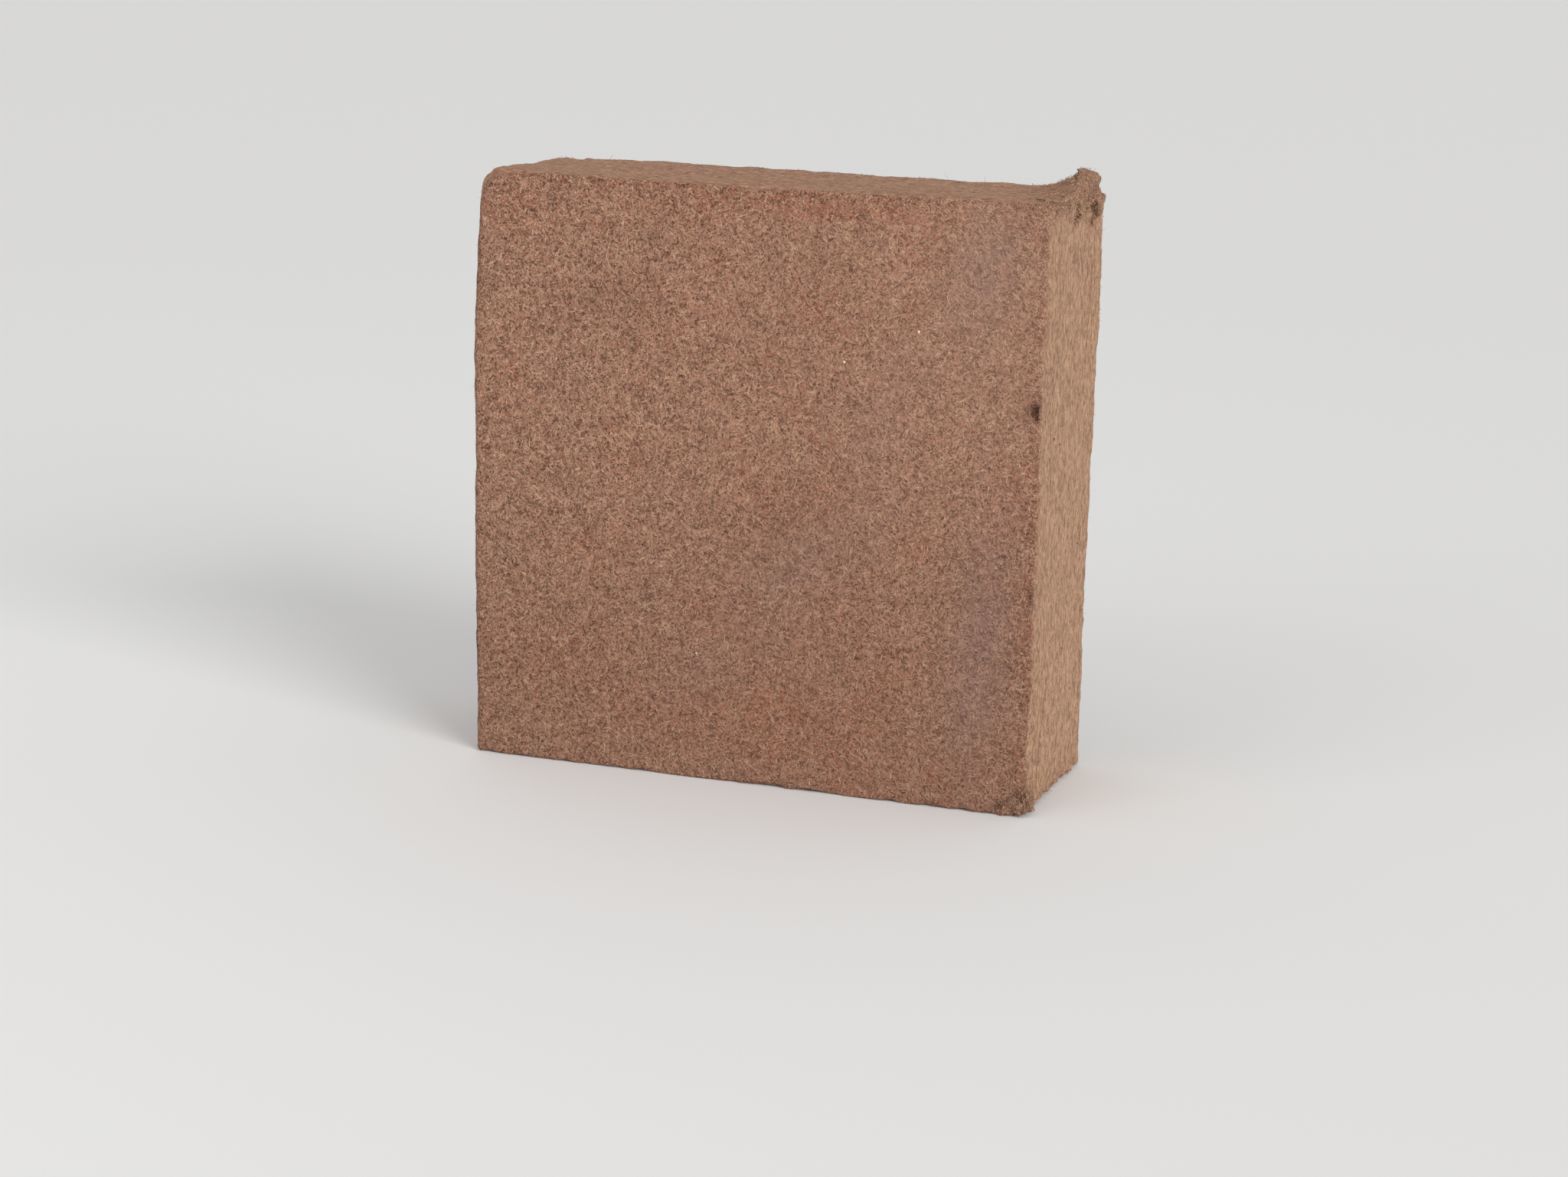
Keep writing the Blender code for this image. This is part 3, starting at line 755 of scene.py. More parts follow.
class Graph:
    """The node tree of a new material, with one way of adding a node."""

    def __init__(self, name):
        self.material = bpy.data.materials.new(name)
        self.material.use_nodes = True
        self.tree = self.material.node_tree
        self.shader = self.tree.nodes["Principled BSDF"]
        self.place = self.node("ShaderNodeTexCoord", {}, {}, "Object")

    def node(self, kind, settings, inputs, output=0):
        """Adds a node of that kind, sets it up, fills its sockets, and gives one output as a Value."""
        added = self.tree.nodes.new(kind)
        for key, value in settings.items():
            setattr(added, key, value)
        for key, value in inputs.items():
            self.fill(added.inputs[key], value)
        return Value(self, added.outputs[output])

    def fill(self, socket, value):
        """Links a Value to a socket, or sets the socket's own number or colour."""
        if isinstance(value, Value):
            self.tree.links.new(value.socket, socket)
        elif socket.type == "RGBA":
            socket.default_value = (*value, 1.0)
        else:
            socket.default_value = value

    def number(self, name):
        """The number that each point of the mesh holds under that name."""
        return self.node("ShaderNodeAttribute", {"attribute_name": name}, {}, "Fac")

    def mix(self, factor, first, second):
        """A colour between two, by a factor."""
        settings = {"data_type": "RGBA"}
        inputs = {0: factor, 6: first, 7: second}
        return self.node("ShaderNodeMix", settings, inputs, 2)

    def layered(self, colour, layers):
        """The colour with layers laid over it in order, each by its factor."""
        for factor, over in layers:
            colour = self.mix(factor, colour, over)
        return colour

    def noise(self, cell, detail=2.0, roughness=0.5, place=None):
        """Cloudy noise whose humps are about cell metres across, around 0.5."""
        inputs = {"Vector": place or self.place, "Scale": 1 / cell, "Detail": detail, "Roughness": roughness}
        return self.node("ShaderNodeTexNoise", {}, inputs, "Fac")

    def moved(self, shift):
        """The place, moved by the same distance along every axis."""
        inputs = {0: self.place, 1: (shift, shift, shift)}
        return self.node("ShaderNodeVectorMath", {"operation": "ADD"}, inputs)

    def along(self, axis):
        """The place's coordinate along the axis of that name."""
        return self.node("ShaderNodeSeparateXYZ", {}, {"Vector": self.place}, axis)

    def curls(self, cell, width, shift):
        """Thin winding lines, 1 along their middles: where a noise of that cell passes 0.5."""
        noise = self.noise(cell, 1.0, 0.5, self.moved(shift))
        return (noise - 0.5).math("ABSOLUTE").step(width, 0.0)

    def fibres(self, cell, angles, shift):
        """Short straight fibres on the big faces, 1 along their middles: for each angle, in degrees, a noise
        drawn out five times in that direction, where it passes 0.6."""
        lines = 0.0
        for number, angle in enumerate(angles):
            inputs = {"Vector": self.moved(shift + 0.37 * number), "Scale": (1.0, 1.0, 5.0)}
            inputs["Rotation"] = (0.0, math.radians(angle), 0.0)
            place = self.node("ShaderNodeMapping", {"vector_type": "TEXTURE"}, inputs)
            lines = self.noise(cell, 1.0, 0.5, place).step(0.60, 0.70).math("MAXIMUM", lines)
        return lines

    def drawn_out(self, share):
        """The place with its x and z shrunk to a share, so that patterns run along the pressed layers."""
        inputs = {0: self.place, 1: (share, 1.0, share)}
        return self.node("ShaderNodeVectorMath", {"operation": "MULTIPLY"}, inputs)

    def grains(self, size):
        """One random number for each grain of that size, blended between neighbours."""
        inputs = {"Vector": self.place, "Scale": 1 / size, "Randomness": 1.0, "Smoothness": 0.7}
        colour = self.node("ShaderNodeTexVoronoi", {"feature": "SMOOTH_F1"}, inputs, "Color")
        return self.node("ShaderNodeSeparateColor", {}, {"Color": colour})

    def bump(self, height, distance, strength):
        """A normal bent by a height, in metres from 0 to distance."""
        inputs = {"Height": height, "Distance": distance, "Strength": strength}
        return self.node("ShaderNodeBump", {}, inputs)


def slab_material(colours):
    """Pressed coir of the slab: reddish felt on the big faces, tan rubbed layers on the narrow sides."""
    graph = Graph("pressed_coir_slab")
    narrow = graph.number("narrow")
    worn = graph.number("worn")
    band = graph.number("band")
    torn = graph.number("torn")
    # deep: painted shade in the pits, fissures and crumbled dents
    deep = graph.number("deep")
    gap = graph.number("gap")
    burnish_and_sheen = graph.number("burnish_and_sheen")
    ruddy = graph.number("ruddy")
    dark = graph.number("dark")

    cloud = graph.noise(0.045, 3.0, 0.55)
    mottle = graph.noise(0.0085, 3.0, 0.6)
    small = graph.noise(0.0030, 2.0, 0.6, graph.moved(0.31))
    fine = graph.noise(0.0011, 2.0, 0.6)
    breaks = graph.noise(0.0014, 1.0, 0.5, graph.moved(0.57))
    holes = graph.noise(0.0013, 1.0, 0.5, graph.moved(0.83)).step(0.42, 0.31)
    grain = graph.grains(0.0009)
    pale_lines = graph.curls(0.0021, 0.040, 0.13).math("MAXIMUM", graph.curls(0.0027, 0.034, 0.47))
    pale_lines = pale_lines * breaks.step(0.44, 0.58)
    dark_lines = graph.curls(0.0024, 0.045, 0.71) * breaks.step(0.56, 0.42)
    pale_fibres = graph.fibres(0.00085, (12, 68, 131), 0.22)
    dark_fibres = graph.fibres(0.00105, (38, 97, 161), 1.53)
    layers = graph.noise(0.0012, 3.0, 0.6, graph.drawn_out(0.13))
    streaks = graph.noise(0.0022, 3.0, 0.70, graph.drawn_out(0.60))

    across = graph.along("X")
    up = graph.along("Z")
    lively = 1.14 + 0.26 * across.step(0.06, -0.12) + 0.25 * band + 0.40 * torn
    lively = lively * (1 - 0.40 * burnish_and_sheen)
    big = (1 - narrow).math("MAXIMUM", torn)
    felt = lively * big

    rubbed = graph.mix(up.step(0.300, 0.308) * 0.45, colours.tan, colours.brown)
    # Painted shade in the hollows (deep) and in the gaps between bared fibres (gap), together with the dark
    # patches: dark blotches of pith and painted shade in the notch
    shade_and_blotches = deep * (0.45 + 0.55 * fine.step(0.60, 0.40)) + dark * (0.35 + 0.45 * fine.step(0.60, 0.40))
    shade_and_blotches = shade_and_blotches + gap * small.step(0.56, 0.44) * (0.35 + 0.65 * fine.step(0.58, 0.44))
    laid_over = [
        (ruddy * cloud.step(0.15, 0.60) * 0.90, colours.ruddy),
        (cloud.step(0.50, 0.66) * big * 0.50, colours.ruddy),
        (band * mottle.step(0.70, 0.35) * 0.95, colours.ruddy),
        (band * band * 0.06, colours.dark),
        (torn * mottle.step(0.40, 0.60) * 0.45, colours.ruddy),
        # Painted sheen: the burnished patches turn grey-mauve
        (burnish_and_sheen * mottle.step(0.10, 0.55) * 0.95, colours.mauve),
        (cloud.step(0.50, 0.30) * (0.03 * big + 0.07), colours.dark),
        (mottle.step(0.48, 0.34) * (0.03 * felt + 0.06), colours.dark),
        (mottle.step(0.52, 0.70) * (0.10 * felt + 0.05), colours.pale),
        (small.step(0.46, 0.34) * (0.26 * felt + 0.06), colours.dark),
        (small.step(0.52, 0.66) * (0.20 * felt + 0.08), colours.pale),
        (grain.step(0.35, 0.0) * (0.18 * felt + 0.10), colours.dark),
        (grain.step(0.72, 1.0) * (0.12 * felt + 0.12), colours.pale),
        (streaks.step(0.52, 0.34) * narrow * 0.50, colours.dark),
        (streaks.step(0.48, 0.68) * narrow * 0.62, colours.pale),
        (layers.step(0.50, 0.32) * narrow * 0.22, colours.dark),
        (layers.step(0.52, 0.70) * narrow * 0.28, colours.pale),
        (dark_fibres * 0.48 * felt, colours.dark),
        (dark_lines * 0.50 * felt, colours.dark),
        (holes * (0.45 * felt + 0.10), colours.dark),
        (pale_fibres * 0.52 * felt, colours.pale),
        (pale_lines * (0.56 * felt + 0.06), colours.pale),
        (worn * fine.step(0.50, 0.34) * 0.60, colours.dark),
        (torn * small.step(0.48, 0.36) * 0.40, colours.dark),
        (torn * fine.step(0.48, 0.64) * 0.50, colours.pale),
        (band * small.step(0.46, 0.34) * 0.16, colours.dark),
        # Painted light: the big faces paler towards their upper right, where more light falls
        (across.step(0.02, 0.15) * up.step(0.10, 0.26) * big * 0.11, colours.pale),
        # Painted shade: the big faces darker towards the bottom
        (up.step(0.200, 0.040) * big * 0.15, colours.dark),
        (shade_and_blotches.math("MINIMUM", 0.92), colours.dark),
    ]
    colour = graph.layered(graph.mix(narrow, colours.brown, rubbed), laid_over)
    graph.fill(graph.shader.inputs["Base Color"], colour)
    graph.fill(graph.shader.inputs["Roughness"], 0.96 - 0.20 * burnish_and_sheen)
    graph.shader.inputs["Specular IOR Level"].default_value = 0.25

    relief = (pale_lines * 0.40 + pale_fibres * 0.35 - dark_fibres * 0.25) * (0.35 + 0.65 * felt)
    relief = relief + (small * 0.50 - dark_lines * 0.30 - holes * 0.40) * (0.35 + 0.65 * felt)
    relief = relief + fine * 0.35 + layers * narrow * 0.30 + streaks * narrow * 0.25
    graph.fill(graph.shader.inputs["Normal"], graph.bump(relief, 0.0009, 0.85))
    return graph.material


def strand_material(colours):
    """Loose fibre and crumbs: each has one tint, from dark pith at 0 through brown, tan and pale fibre at 1
    to bleached straw at 1.6."""
    graph = Graph("loose_coir")
    tint = graph.number("tint")
    fine = graph.noise(0.0009, 2.0, 0.6)
    across = graph.along("X")
    up = graph.along("Z")
    laid_over = [
        (tint.step(0.0, 0.45), colours.brown),
        (tint.step(0.35, 0.70), colours.tan),
        (tint.step(0.65, 1.0), colours.pale),
        (tint.step(1.0, 1.6), colours.straw),
        (graph.number("ruddy") * 0.55, colours.ruddy),
        # Painted sheen: loose fibre on the burnished patches turns grey-mauve
        (graph.number("burnish_and_sheen") * 0.60, colours.mauve),
        # Painted light: paler towards the upper right
        (across.step(0.02, 0.15) * up.step(0.10, 0.26) * 0.11, colours.pale),
        # Painted shade: darker towards the bottom
        (up.step(0.200, 0.040) * 0.15, colours.dark),
        (fine.step(0.55, 0.35) * 0.40, colours.dark),
    ]
    graph.fill(graph.shader.inputs["Base Color"], graph.layered(colours.dark, laid_over))
    graph.shader.inputs["Roughness"].default_value = 0.85
    graph.shader.inputs["Specular IOR Level"].default_value = 0.3
    graph.fill(graph.shader.inputs["Normal"], graph.bump(fine, 0.0003, 0.6))
    return graph.material


def material_named(name, maker):
    """The material of that name, made on first use."""
    return bpy.data.materials.get(name) or maker(bpy.context.scene.coir_colours)


class COIR_OT_slab(bpy.types.Operator):
    """Makes the pressed slab itself, as one closed surface"""

    bl_idname = "coir.slab"
    bl_label = "Slab"

    def execute(self, context):
        shape = context.scene.coir_shape
        half = half_size(shape)
        fissure_places = [((entry[3] + entry[4]) / 2, 0.0036, 2.6) for entry in FISSURES]
        lines = [
            stations(half[0], shape.grid_step, [(half[0] - 0.012, 0.009, 2.4)]),
            stations(half[1], shape.grid_step, [*fissure_places, (half[1] - 0.014, 0.020, 0.9)]),
            stations(half[2], shape.grid_step, [(half[2] - 0.009, 0.008, 1.2)]),
        ]
        points, quads = slab_grid(lines)
        placed, direction, depth = bale_surface(points, shape)
        values = {
            "narrow": self.rubbed(points, placed, half),
            "worn": near_worn(points, half, WEAR_REACH),
            "band": edge_band(points, half) * smooth_step(direction[:, 1] ** 2 * 2 - 0.4),
            "torn": torn_open(points, half),
            # Painted shade in the hollows: darker the deeper the pit, fissure or crumbled dent
            "deep": smooth_step(depth / 0.0018),
            # gap: painted shade in the gaps between the bared fibres
            "gap": gap_shade(points, half),
            "burnish_and_sheen": patch_mask(points, direction, half, BURNISHED_SHEEN_FRONT, BURNISHED_SHEEN_BACK),
            "ruddy": patch_mask(points, direction, half, RUDDY_FRONT, RUDDY_BACK),
            "dark": patch_mask(points, direction, half, DARK_FRONT, ()),
        }
        material = material_named("pressed_coir_slab", slab_material)
        slab = mesh_piece("coir_slab", placed, quads, material, values)
        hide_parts("bale")
        return {"FINISHED"}

    def rubbed(self, points, placed, half):
        """From 0 to 1, how much a point belongs to the rubbed narrow sides: an uneven line a little behind
        the big faces parts the two."""
        behind = half[1] - np.abs(points[:, 1])
        line = 0.0012 + 0.0013 * unevenness(placed, 0.0030, 21) + 0.0009 * unevenness(placed, 0.0090, 22)
        return smooth_step((behind - line) / 0.0010)


def face_patches(flat, side, half):
    """From 0 to 1, how much of the smoother pressed patches with painted sheen, how ruddy and how bare of
    loose fibre each place of a big face is.
    """
    points = on_side(flat, 1, side, half)
    facing = np.zeros_like(points)
    facing[:, 1] = side
    burnished_sheen = patch_mask(points, facing, half, BURNISHED_SHEEN_FRONT, BURNISHED_SHEEN_BACK)
    ruddy = np.maximum(patch_mask(points, facing, half, RUDDY_FRONT, RUDDY_BACK), edge_band(points, half))
    return burnished_sheen, ruddy, 0.78 * burnished_sheen + 0.20 * smooth_step(0.5 + points[:, 0] / 0.24)


def fleck_piece(name, sides, count, rings, seed, shape, material):
    """Short fibres that lie in the surface of some sides, in number by each side's area: thin spindles,
    bent a little, whose middles stand proud and whose tips are buried."""
    rng = np.random.default_rng(seed)
    half = half_size(shape)
    areas = []
    for axis, _ in sides:
        others = [i for i in range(3) if i != axis]
        areas.append(half[others[0]] * half[others[1]])
    lifts = np.array([-0.9] + [0.5] * rings + [-0.9])
    widths = np.array([0.0] + [1.0, 0.85][:rings] + [0.0])
    size = 0.8 if rings == 1 else 1.0
    points = []
    values = {"tint": [], "burnish_and_sheen": [], "ruddy": []}
    total = 0
    for (axis, side), area in zip(sides, areas):
        share = round(count * area / sum(areas))
        others = [i for i in range(3) if i != axis]
        start = scattered(rng, share, half[others[0]], half[others[1]], 0.0012)
        burnished_sheen = ruddy = np.zeros(share)
        if axis == 1:
            burnished_sheen, ruddy, bare = face_patches(start, side, half)
            kept = rng.random(share) > bare
            start, burnished_sheen, ruddy = start[kept], burnished_sheen[kept], ruddy[kept]
            share = len(start)
        dark_one = rng.random(share) < 0.20
        if axis == 1:
            heading = rng.uniform(0, 2 * math.pi, share)
            length = sizes_about(rng, share, FLECK_LENGTH * size, 0.45, 0.56, LONGEST_FLECK)
            radius = size * rng.uniform(0.00010, 0.00021, share)
            tint = rng.normal(0.72, 0.24, share)
        else:
            along_layers = math.pi / 2 if axis == 0 else 0.0
            heading = along_layers + rng.normal(0, 0.30, share)
            length = sizes_about(rng, share, FLECK_LENGTH, 0.45, 0.50, LONGEST_FLECK)
            radius = rng.uniform(0.00007, 0.00015, share)
            tint = rng.normal(0.78, 0.18, share)
            dark_one = rng.random(share) < 0.08
        tint = np.clip(np.where(dark_one, 0.15, tint), 0, 1)
        flat = bent_run(start, heading, length, rng.normal(0, 1.1, share), rings + 2)
        path, up = lying_strands(flat, axis, side, lifts[None] * radius[:, None], shape)
        points.append(strand_points(path, widths[None] * radius[:, None], up, 3, 0.7))
        for key, numbers in (("tint", tint), ("burnish_and_sheen", burnished_sheen), ("ruddy", ruddy)):
            values[key].append(np.repeat(numbers, 2 + 3 * rings))
        total += share
    faces = strand_faces(total, rings, 3)
    joined = {key: np.concatenate(numbers) for key, numbers in values.items()}
    return mesh_piece(name, np.concatenate(points), faces, material, joined)


class COIR_OT_flecks(bpy.types.Operator):
    """Lays short fibres in the surface of every side but the underside"""

    bl_idname = "coir.flecks"
    bl_label = "Flecks"

    def execute(self, context):
        shape = context.scene.coir_shape
        cover = context.scene.coir_cover
        material = material_named("loose_coir", strand_material)
        fleck_piece("flecks_front", [(1, -1)], cover.flecks_front, 2, 101, shape, material)
        fleck_piece("fines_front", [(1, -1)], cover.fines_front, 1, 102, shape, material)
        fleck_piece("flecks_back", [(1, 1)], cover.flecks_back, 2, 103, shape, material)
        fleck_piece("fines_back", [(1, 1)], cover.fines_back, 1, 104, shape, material)
        narrow_sides = [(0, 1), (0, -1), (2, 1)]
        fleck_piece("flecks_narrow", narrow_sides, cover.flecks_narrow, 2, 105, shape, material)
        return {"FINISHED"}


def torn_open(points, half):
    """From 0 to 1, how much each point of the sharp slab lies in the torn zones, with ragged limits."""
    torn = np.zeros(len(points))
    ragged = 1 + 0.45 * unevenness(points, 0.0060, 23) + 0.30 * unevenness(points, 0.0025, 24)
    for middle, spread, _ in TORN_ZONES:
        away = (points + (0, 0, half[2]) - middle) / (np.array(spread) * 1.5)
        torn = np.maximum(torn, np.exp(-((np.linalg.norm(away, axis=1) * ragged) ** 2)))
    return smooth_step(torn * 1.4)


def gap_shade(points, half):
    """From 0 to 1, how far each point of the sharp slab lies in a gap painted with shade, with ragged limits.
    """
    gap = np.zeros(len(points))
    ragged = 1 + 0.50 * unevenness(points, 0.0042, 25) + 0.40 * unevenness(points, 0.0019, 26)
    for place, reach in SHADED_GAPS:
        distance = np.linalg.norm(points + (0, 0, half[2]) - place, axis=1)
        gap = np.maximum(gap, np.exp(-((distance * ragged / reach) ** 2)))
    return smooth_step(gap * 1.5 - 0.25)


def edge_places(rng, count, reach, shape):
    """Places on the sharp slab near its edges, as many on each edge as its length times the square of how
    crumbly it is, thinning out over the reach."""
    half = half_size(shape)
    names = list(EDGES)
    weights = []
    for name in names:
        first, second, _, crumbly = EDGES[name]
        along = 3 - AXES[first[0]] - AXES[second[0]]
        weights.append(half[along] * (crumbly**2 + 0.02))
    chosen = rng.choice(len(names), count, p=np.array(weights) / sum(weights))
    points = np.empty((count, 3))
    for number, name in enumerate(names):
        first, second, _, _ = EDGES[name]
        mine = np.flatnonzero(chosen == number)
        along = 3 - AXES[first[0]] - AXES[second[0]]
        points[mine, along] = rng.uniform(-half[along], half[along], len(mine))
        gap = np.abs(rng.normal(0, reach, len(mine)))
        on_first = rng.random(len(mine)) < 0.5
        for (axis, side), is_on in ((first, on_first), (second, ~on_first)):
            a = AXES[axis]
            points[mine, a] = side * (half[a] - np.where(is_on, 0.0, gap))
    return points


def crumb_piece(name, places, directions, sizes, tints, seed, material):
    """Crumbs: little twenty-sided lumps, each stretched, dented and turned its own way."""
    rng = np.random.default_rng(seed)
    golden = (1 + math.sqrt(5)) / 2
    base = []
    for first in (-1, 1):
        for second in (-golden, golden):
            base += [(0, first, second), (first, second, 0), (second, 0, first)]
    base = np.array(base) / math.hypot(1, golden)
    next_to = np.linalg.norm(base[:, None] - base[None], axis=2) < 1.2
    a, b, c = np.array(list(itertools.combinations(range(12), 3))).T
    faces = np.stack([a, b, c], axis=1)[next_to[a, b] & next_to[b, c] & next_to[a, c]]
    inwards = np.linalg.det(base[faces]) < 0
    faces[inwards] = faces[inwards][:, [0, 2, 1]]
    count = len(places)
    stretch = rng.uniform(0.6, 1.3, (count, 1, 3))
    dent = 1 + rng.uniform(-0.28, 0.28, (count, 12, 1))
    local = base[None] * stretch * dent * sizes[:, None, None]
    spin = rng.normal(size=(count, 3, 3))
    turn, _ = np.linalg.qr(spin)
    turn *= np.where(np.linalg.det(turn) < 0, -1.0, 1.0)[:, None, None]
    local = np.einsum("nij,nkj->nki", turn, local)
    points = (places - directions * sizes[:, None] * 0.25)[:, None] + local
    points[..., 2] = np.maximum(points[..., 2], 0.0)
    all_faces = (faces[None] + (np.arange(count) * 12)[:, None, None]).reshape(-1, 3)
    return mesh_piece(name, points.reshape(-1, 3), all_faces, material, {"tint": np.repeat(tints, 12)})


class COIR_OT_crumbs(bpy.types.Operator):
    """Strews crumbs along the broken edges and sets the specks"""

    bl_idname = "coir.crumbs"
    bl_label = "Crumbs and specks"

    def execute(self, context):
        shape = context.scene.coir_shape
        material = material_named("loose_coir", strand_material)
        rng = np.random.default_rng(201)
        count = context.scene.coir_cover.crumbs
        points = edge_places(rng, count, 0.0048, shape)
        placed, direction, _ = bale_surface(points, shape)
        sizes = sizes_about(rng, count, 0.00026, 0.05, 0.42, 0.0007)
        tints = tints_about(rng, count, 0.56, 0.16)
        crumb_piece("edge_crumbs", placed, direction, sizes, tints, 202, material)

        half = half_size(shape)
        dark_flat = np.array(RIGHT_SPECKS) - (0, half[2])
        white_flat = np.array(WHITE_SPECKS) - (0, half[2])
        specks = np.concatenate([on_side(dark_flat, 0, 1, half), on_side(white_flat, 1, -1, half)])
        placed, direction, _ = bale_surface(specks, shape)
        sizes = np.full(len(specks), SPECK_RADIUS)
        tints = np.repeat([0.08, 1.6], [len(dark_flat), len(white_flat)])
        crumb_piece("specks", placed, direction, sizes, tints, 203, material)
        return {"FINISHED"}


def torn_places(rng, count, half):
    """Places on the sharp slab in the torn zones, scattered about each middle and set on the nearest side,
    and the axis that this side is square to."""
    points = []
    for middle, spread, share in TORN_ZONES:
        away = rng.normal(size=(round(count * share), 3)) * spread
        points.append(np.clip(np.array(middle) - (0, 0, half[2]) + away, -half, half))
    points = np.concatenate(points)
    # Fewer torn fibres start where shade is painted into the gaps, so that it shows between them
    points = points[rng.random(len(points)) > 0.75 * gap_shade(points, half)]
    nearest = np.argmin(half - np.abs(points), axis=1)
    rows = np.arange(len(points))
    points[rows, nearest] = np.sign(points[rows, nearest]) * half[nearest]
    return points, nearest


def standing_strands(rng, places, directions, length, radius, spread, droop):
    """Fibres that leave the surface: each starts inside it, heads outwards with some spread, and curls."""
    count = len(places)
    heading = directions + spread * rng.normal(size=(count, 3))
    heading /= np.linalg.norm(heading, axis=1, keepdims=True)
    curl = rng.normal(size=(count, 3)) * 0.8
    share = np.linspace(0, 1, 6)
    along = share[None, :, None] * length[:, None, None]
    path = places[:, None] - directions[:, None] * 0.0004 + heading[:, None] * along
    path += curl[:, None] * (share[None, :, None] ** 2) * length[:, None, None] * 0.45
    path[..., 2] -= droop * (share[None] ** 2) * length[:, None]
    path[..., 2] = np.maximum(path[..., 2], LOWEST_FRINGE)
    widths = radius[:, None] * np.array([0, 1.0, 0.95, 0.85, 0.65, 0])[None]
    up = np.broadcast_to(rng.normal(size=(count, 1, 3)), path.shape)
    return strand_points(path, widths, up, 3, 0.8)


class COIR_OT_fringe(bpy.types.Operator):
    """Adds the fringe of fibre along the edges, the fuzz of the faces and the long loose hairs"""

    bl_idname = "coir.fringe"
    bl_label = "Fringe, fuzz and hairs"

    def execute(self, context):
        shape = context.scene.coir_shape
        cover = context.scene.coir_cover
        material = material_named("loose_coir", strand_material)
        rng = np.random.default_rng(301)

        points = edge_places(rng, cover.fringe, 0.0030, shape)
        placed, direction, _ = bale_surface(points, shape)
        length = sizes_about(rng, cover.fringe, 0.0012, 0.1, 0.5, 0.0036)
        radius = rng.uniform(0.00005, 0.00010, cover.fringe)
        fringe = standing_strands(rng, placed, direction, length, radius, 1.1, 0.15)
        tint = np.repeat(tints_about(rng, cover.fringe, 0.66, 0.22), 14)
        mesh_piece("edge_fringe", fringe, strand_faces(cover.fringe, 4, 3), material, {"tint": tint})

        self.torn(rng, shape, cover.torn, material)
        self.fuzz(rng, shape, cover.fuzz, material)
        self.hairs(rng, shape, cover.hairs, material)
        self.free_hairs(rng, material)
        return {"FINISHED"}

    def torn(self, rng, shape, count, material):
        """Fibre bared in the torn zones: arcs of eight places that lie over one another, some dark, most
        pale, and rise and sink along their length."""
        half = half_size(shape)
        starts, square_to = torn_places(rng, count, half)
        points = []
        for axis in range(3):
            others = [i for i in range(3) if i != axis]
            for side in (-1, 1):
                mine = starts[(square_to == axis) & (starts[:, axis] * side > 0)]
                total = len(mine)
                length = sizes_about(rng, total, 0.0024, 0.15, 0.45, 0.0070)
                heading = rng.uniform(0, 2 * math.pi, total)
                flat = bent_run(mine[:, others], heading, length, rng.normal(0, 2.0, total), 8)
                share = np.linspace(0, 1, 8)[None]
                waves = share * rng.uniform(0.8, 1.8, (total, 1)) + rng.uniform(0, 1, (total, 1))
                level = rng.uniform(-0.0001, 0.0005, (total, 1))
                lift = level + rng.uniform(0.0002, 0.0009, (total, 1)) * np.sin(math.pi * waves)
                path, up = lying_strands(flat, axis, side, lift, shape)
                path[..., 2] = np.maximum(path[..., 2], LOWEST_TORN)
                taper = np.array([0, 0.8, 1.0, 1.0, 0.95, 0.85, 0.7, 0])
                radius = rng.uniform(0.00009, 0.00020, (total, 1)) * taper
                points.append(strand_points(path, radius, up, 3, 0.8))
        total = len(starts)
        tint = np.where(rng.random(total) < 0.14, 0.30, rng.normal(0.84, 0.15, total))
        tint = np.repeat(np.clip(tint, 0, 1), 20)
        mesh_piece("torn_fibre", np.concatenate(points), strand_faces(total, 6, 3), material, {"tint": tint})

    def free_hairs(self, rng, material):
        """The hairs that stand free: bowed runs of eight places with four sides."""
        share = np.linspace(0, 1, 8)[None, :, None]
        starts, ends = (np.array([entry[i] for entry in FREE_HAIRS])[:, None] for i in (0, 1))
        sag = np.array([entry[2] for entry in FREE_HAIRS])
        path = starts + (ends - starts) * share
        path[..., 2] += sag[:, None] * np.sin(math.pi * share[..., 0])
        count = len(FREE_HAIRS)
        radius = np.tile(0.00010 * np.array([1, 1, 1, 0.9, 0.8, 0.7, 0.5, 0.2]), (count, 1))
        up = np.broadcast_to(rng.normal(size=(count, 1, 3)), path.shape)
        tint = np.full(count * 26, 0.70)
        points = strand_points(path, radius, up, 4, 0.9)
        mesh_piece("free_hairs", points, strand_faces(count, 6, 4), material, {"tint": tint})

    def fuzz(self, rng, shape, count, material):
        """Fibre ends that stand a little off all sides but the underside."""
        half = half_size(shape)
        sides = [(1, -1), (1, 1), (0, 1), (0, -1), (2, 1)]
        shares = [0.31, 0.31, 0.13, 0.13, 0.12]
        points = []
        for (axis, side), share in zip(sides, shares):
            others = [i for i in range(3) if i != axis]
            flat = scattered(rng, round(count * share), half[others[0]], half[others[1]], 0.001)
            points.append(on_side(flat, axis, side, half))
        placed, direction, _ = bale_surface(np.concatenate(points), shape)
        total = len(placed)
        length = sizes_about(rng, total, 0.0009, 0.1, 0.45, 0.0026)
        radius = rng.uniform(0.00005, 0.00010, total)
        fuzz = standing_strands(rng, placed, direction, length, radius, 1.3, 0.1)
        tint = np.repeat(tints_about(rng, total, 0.70, 0.20), 14)
        mesh_piece("face_fuzz", fuzz, strand_faces(total, 4, 3), material, {"tint": tint})

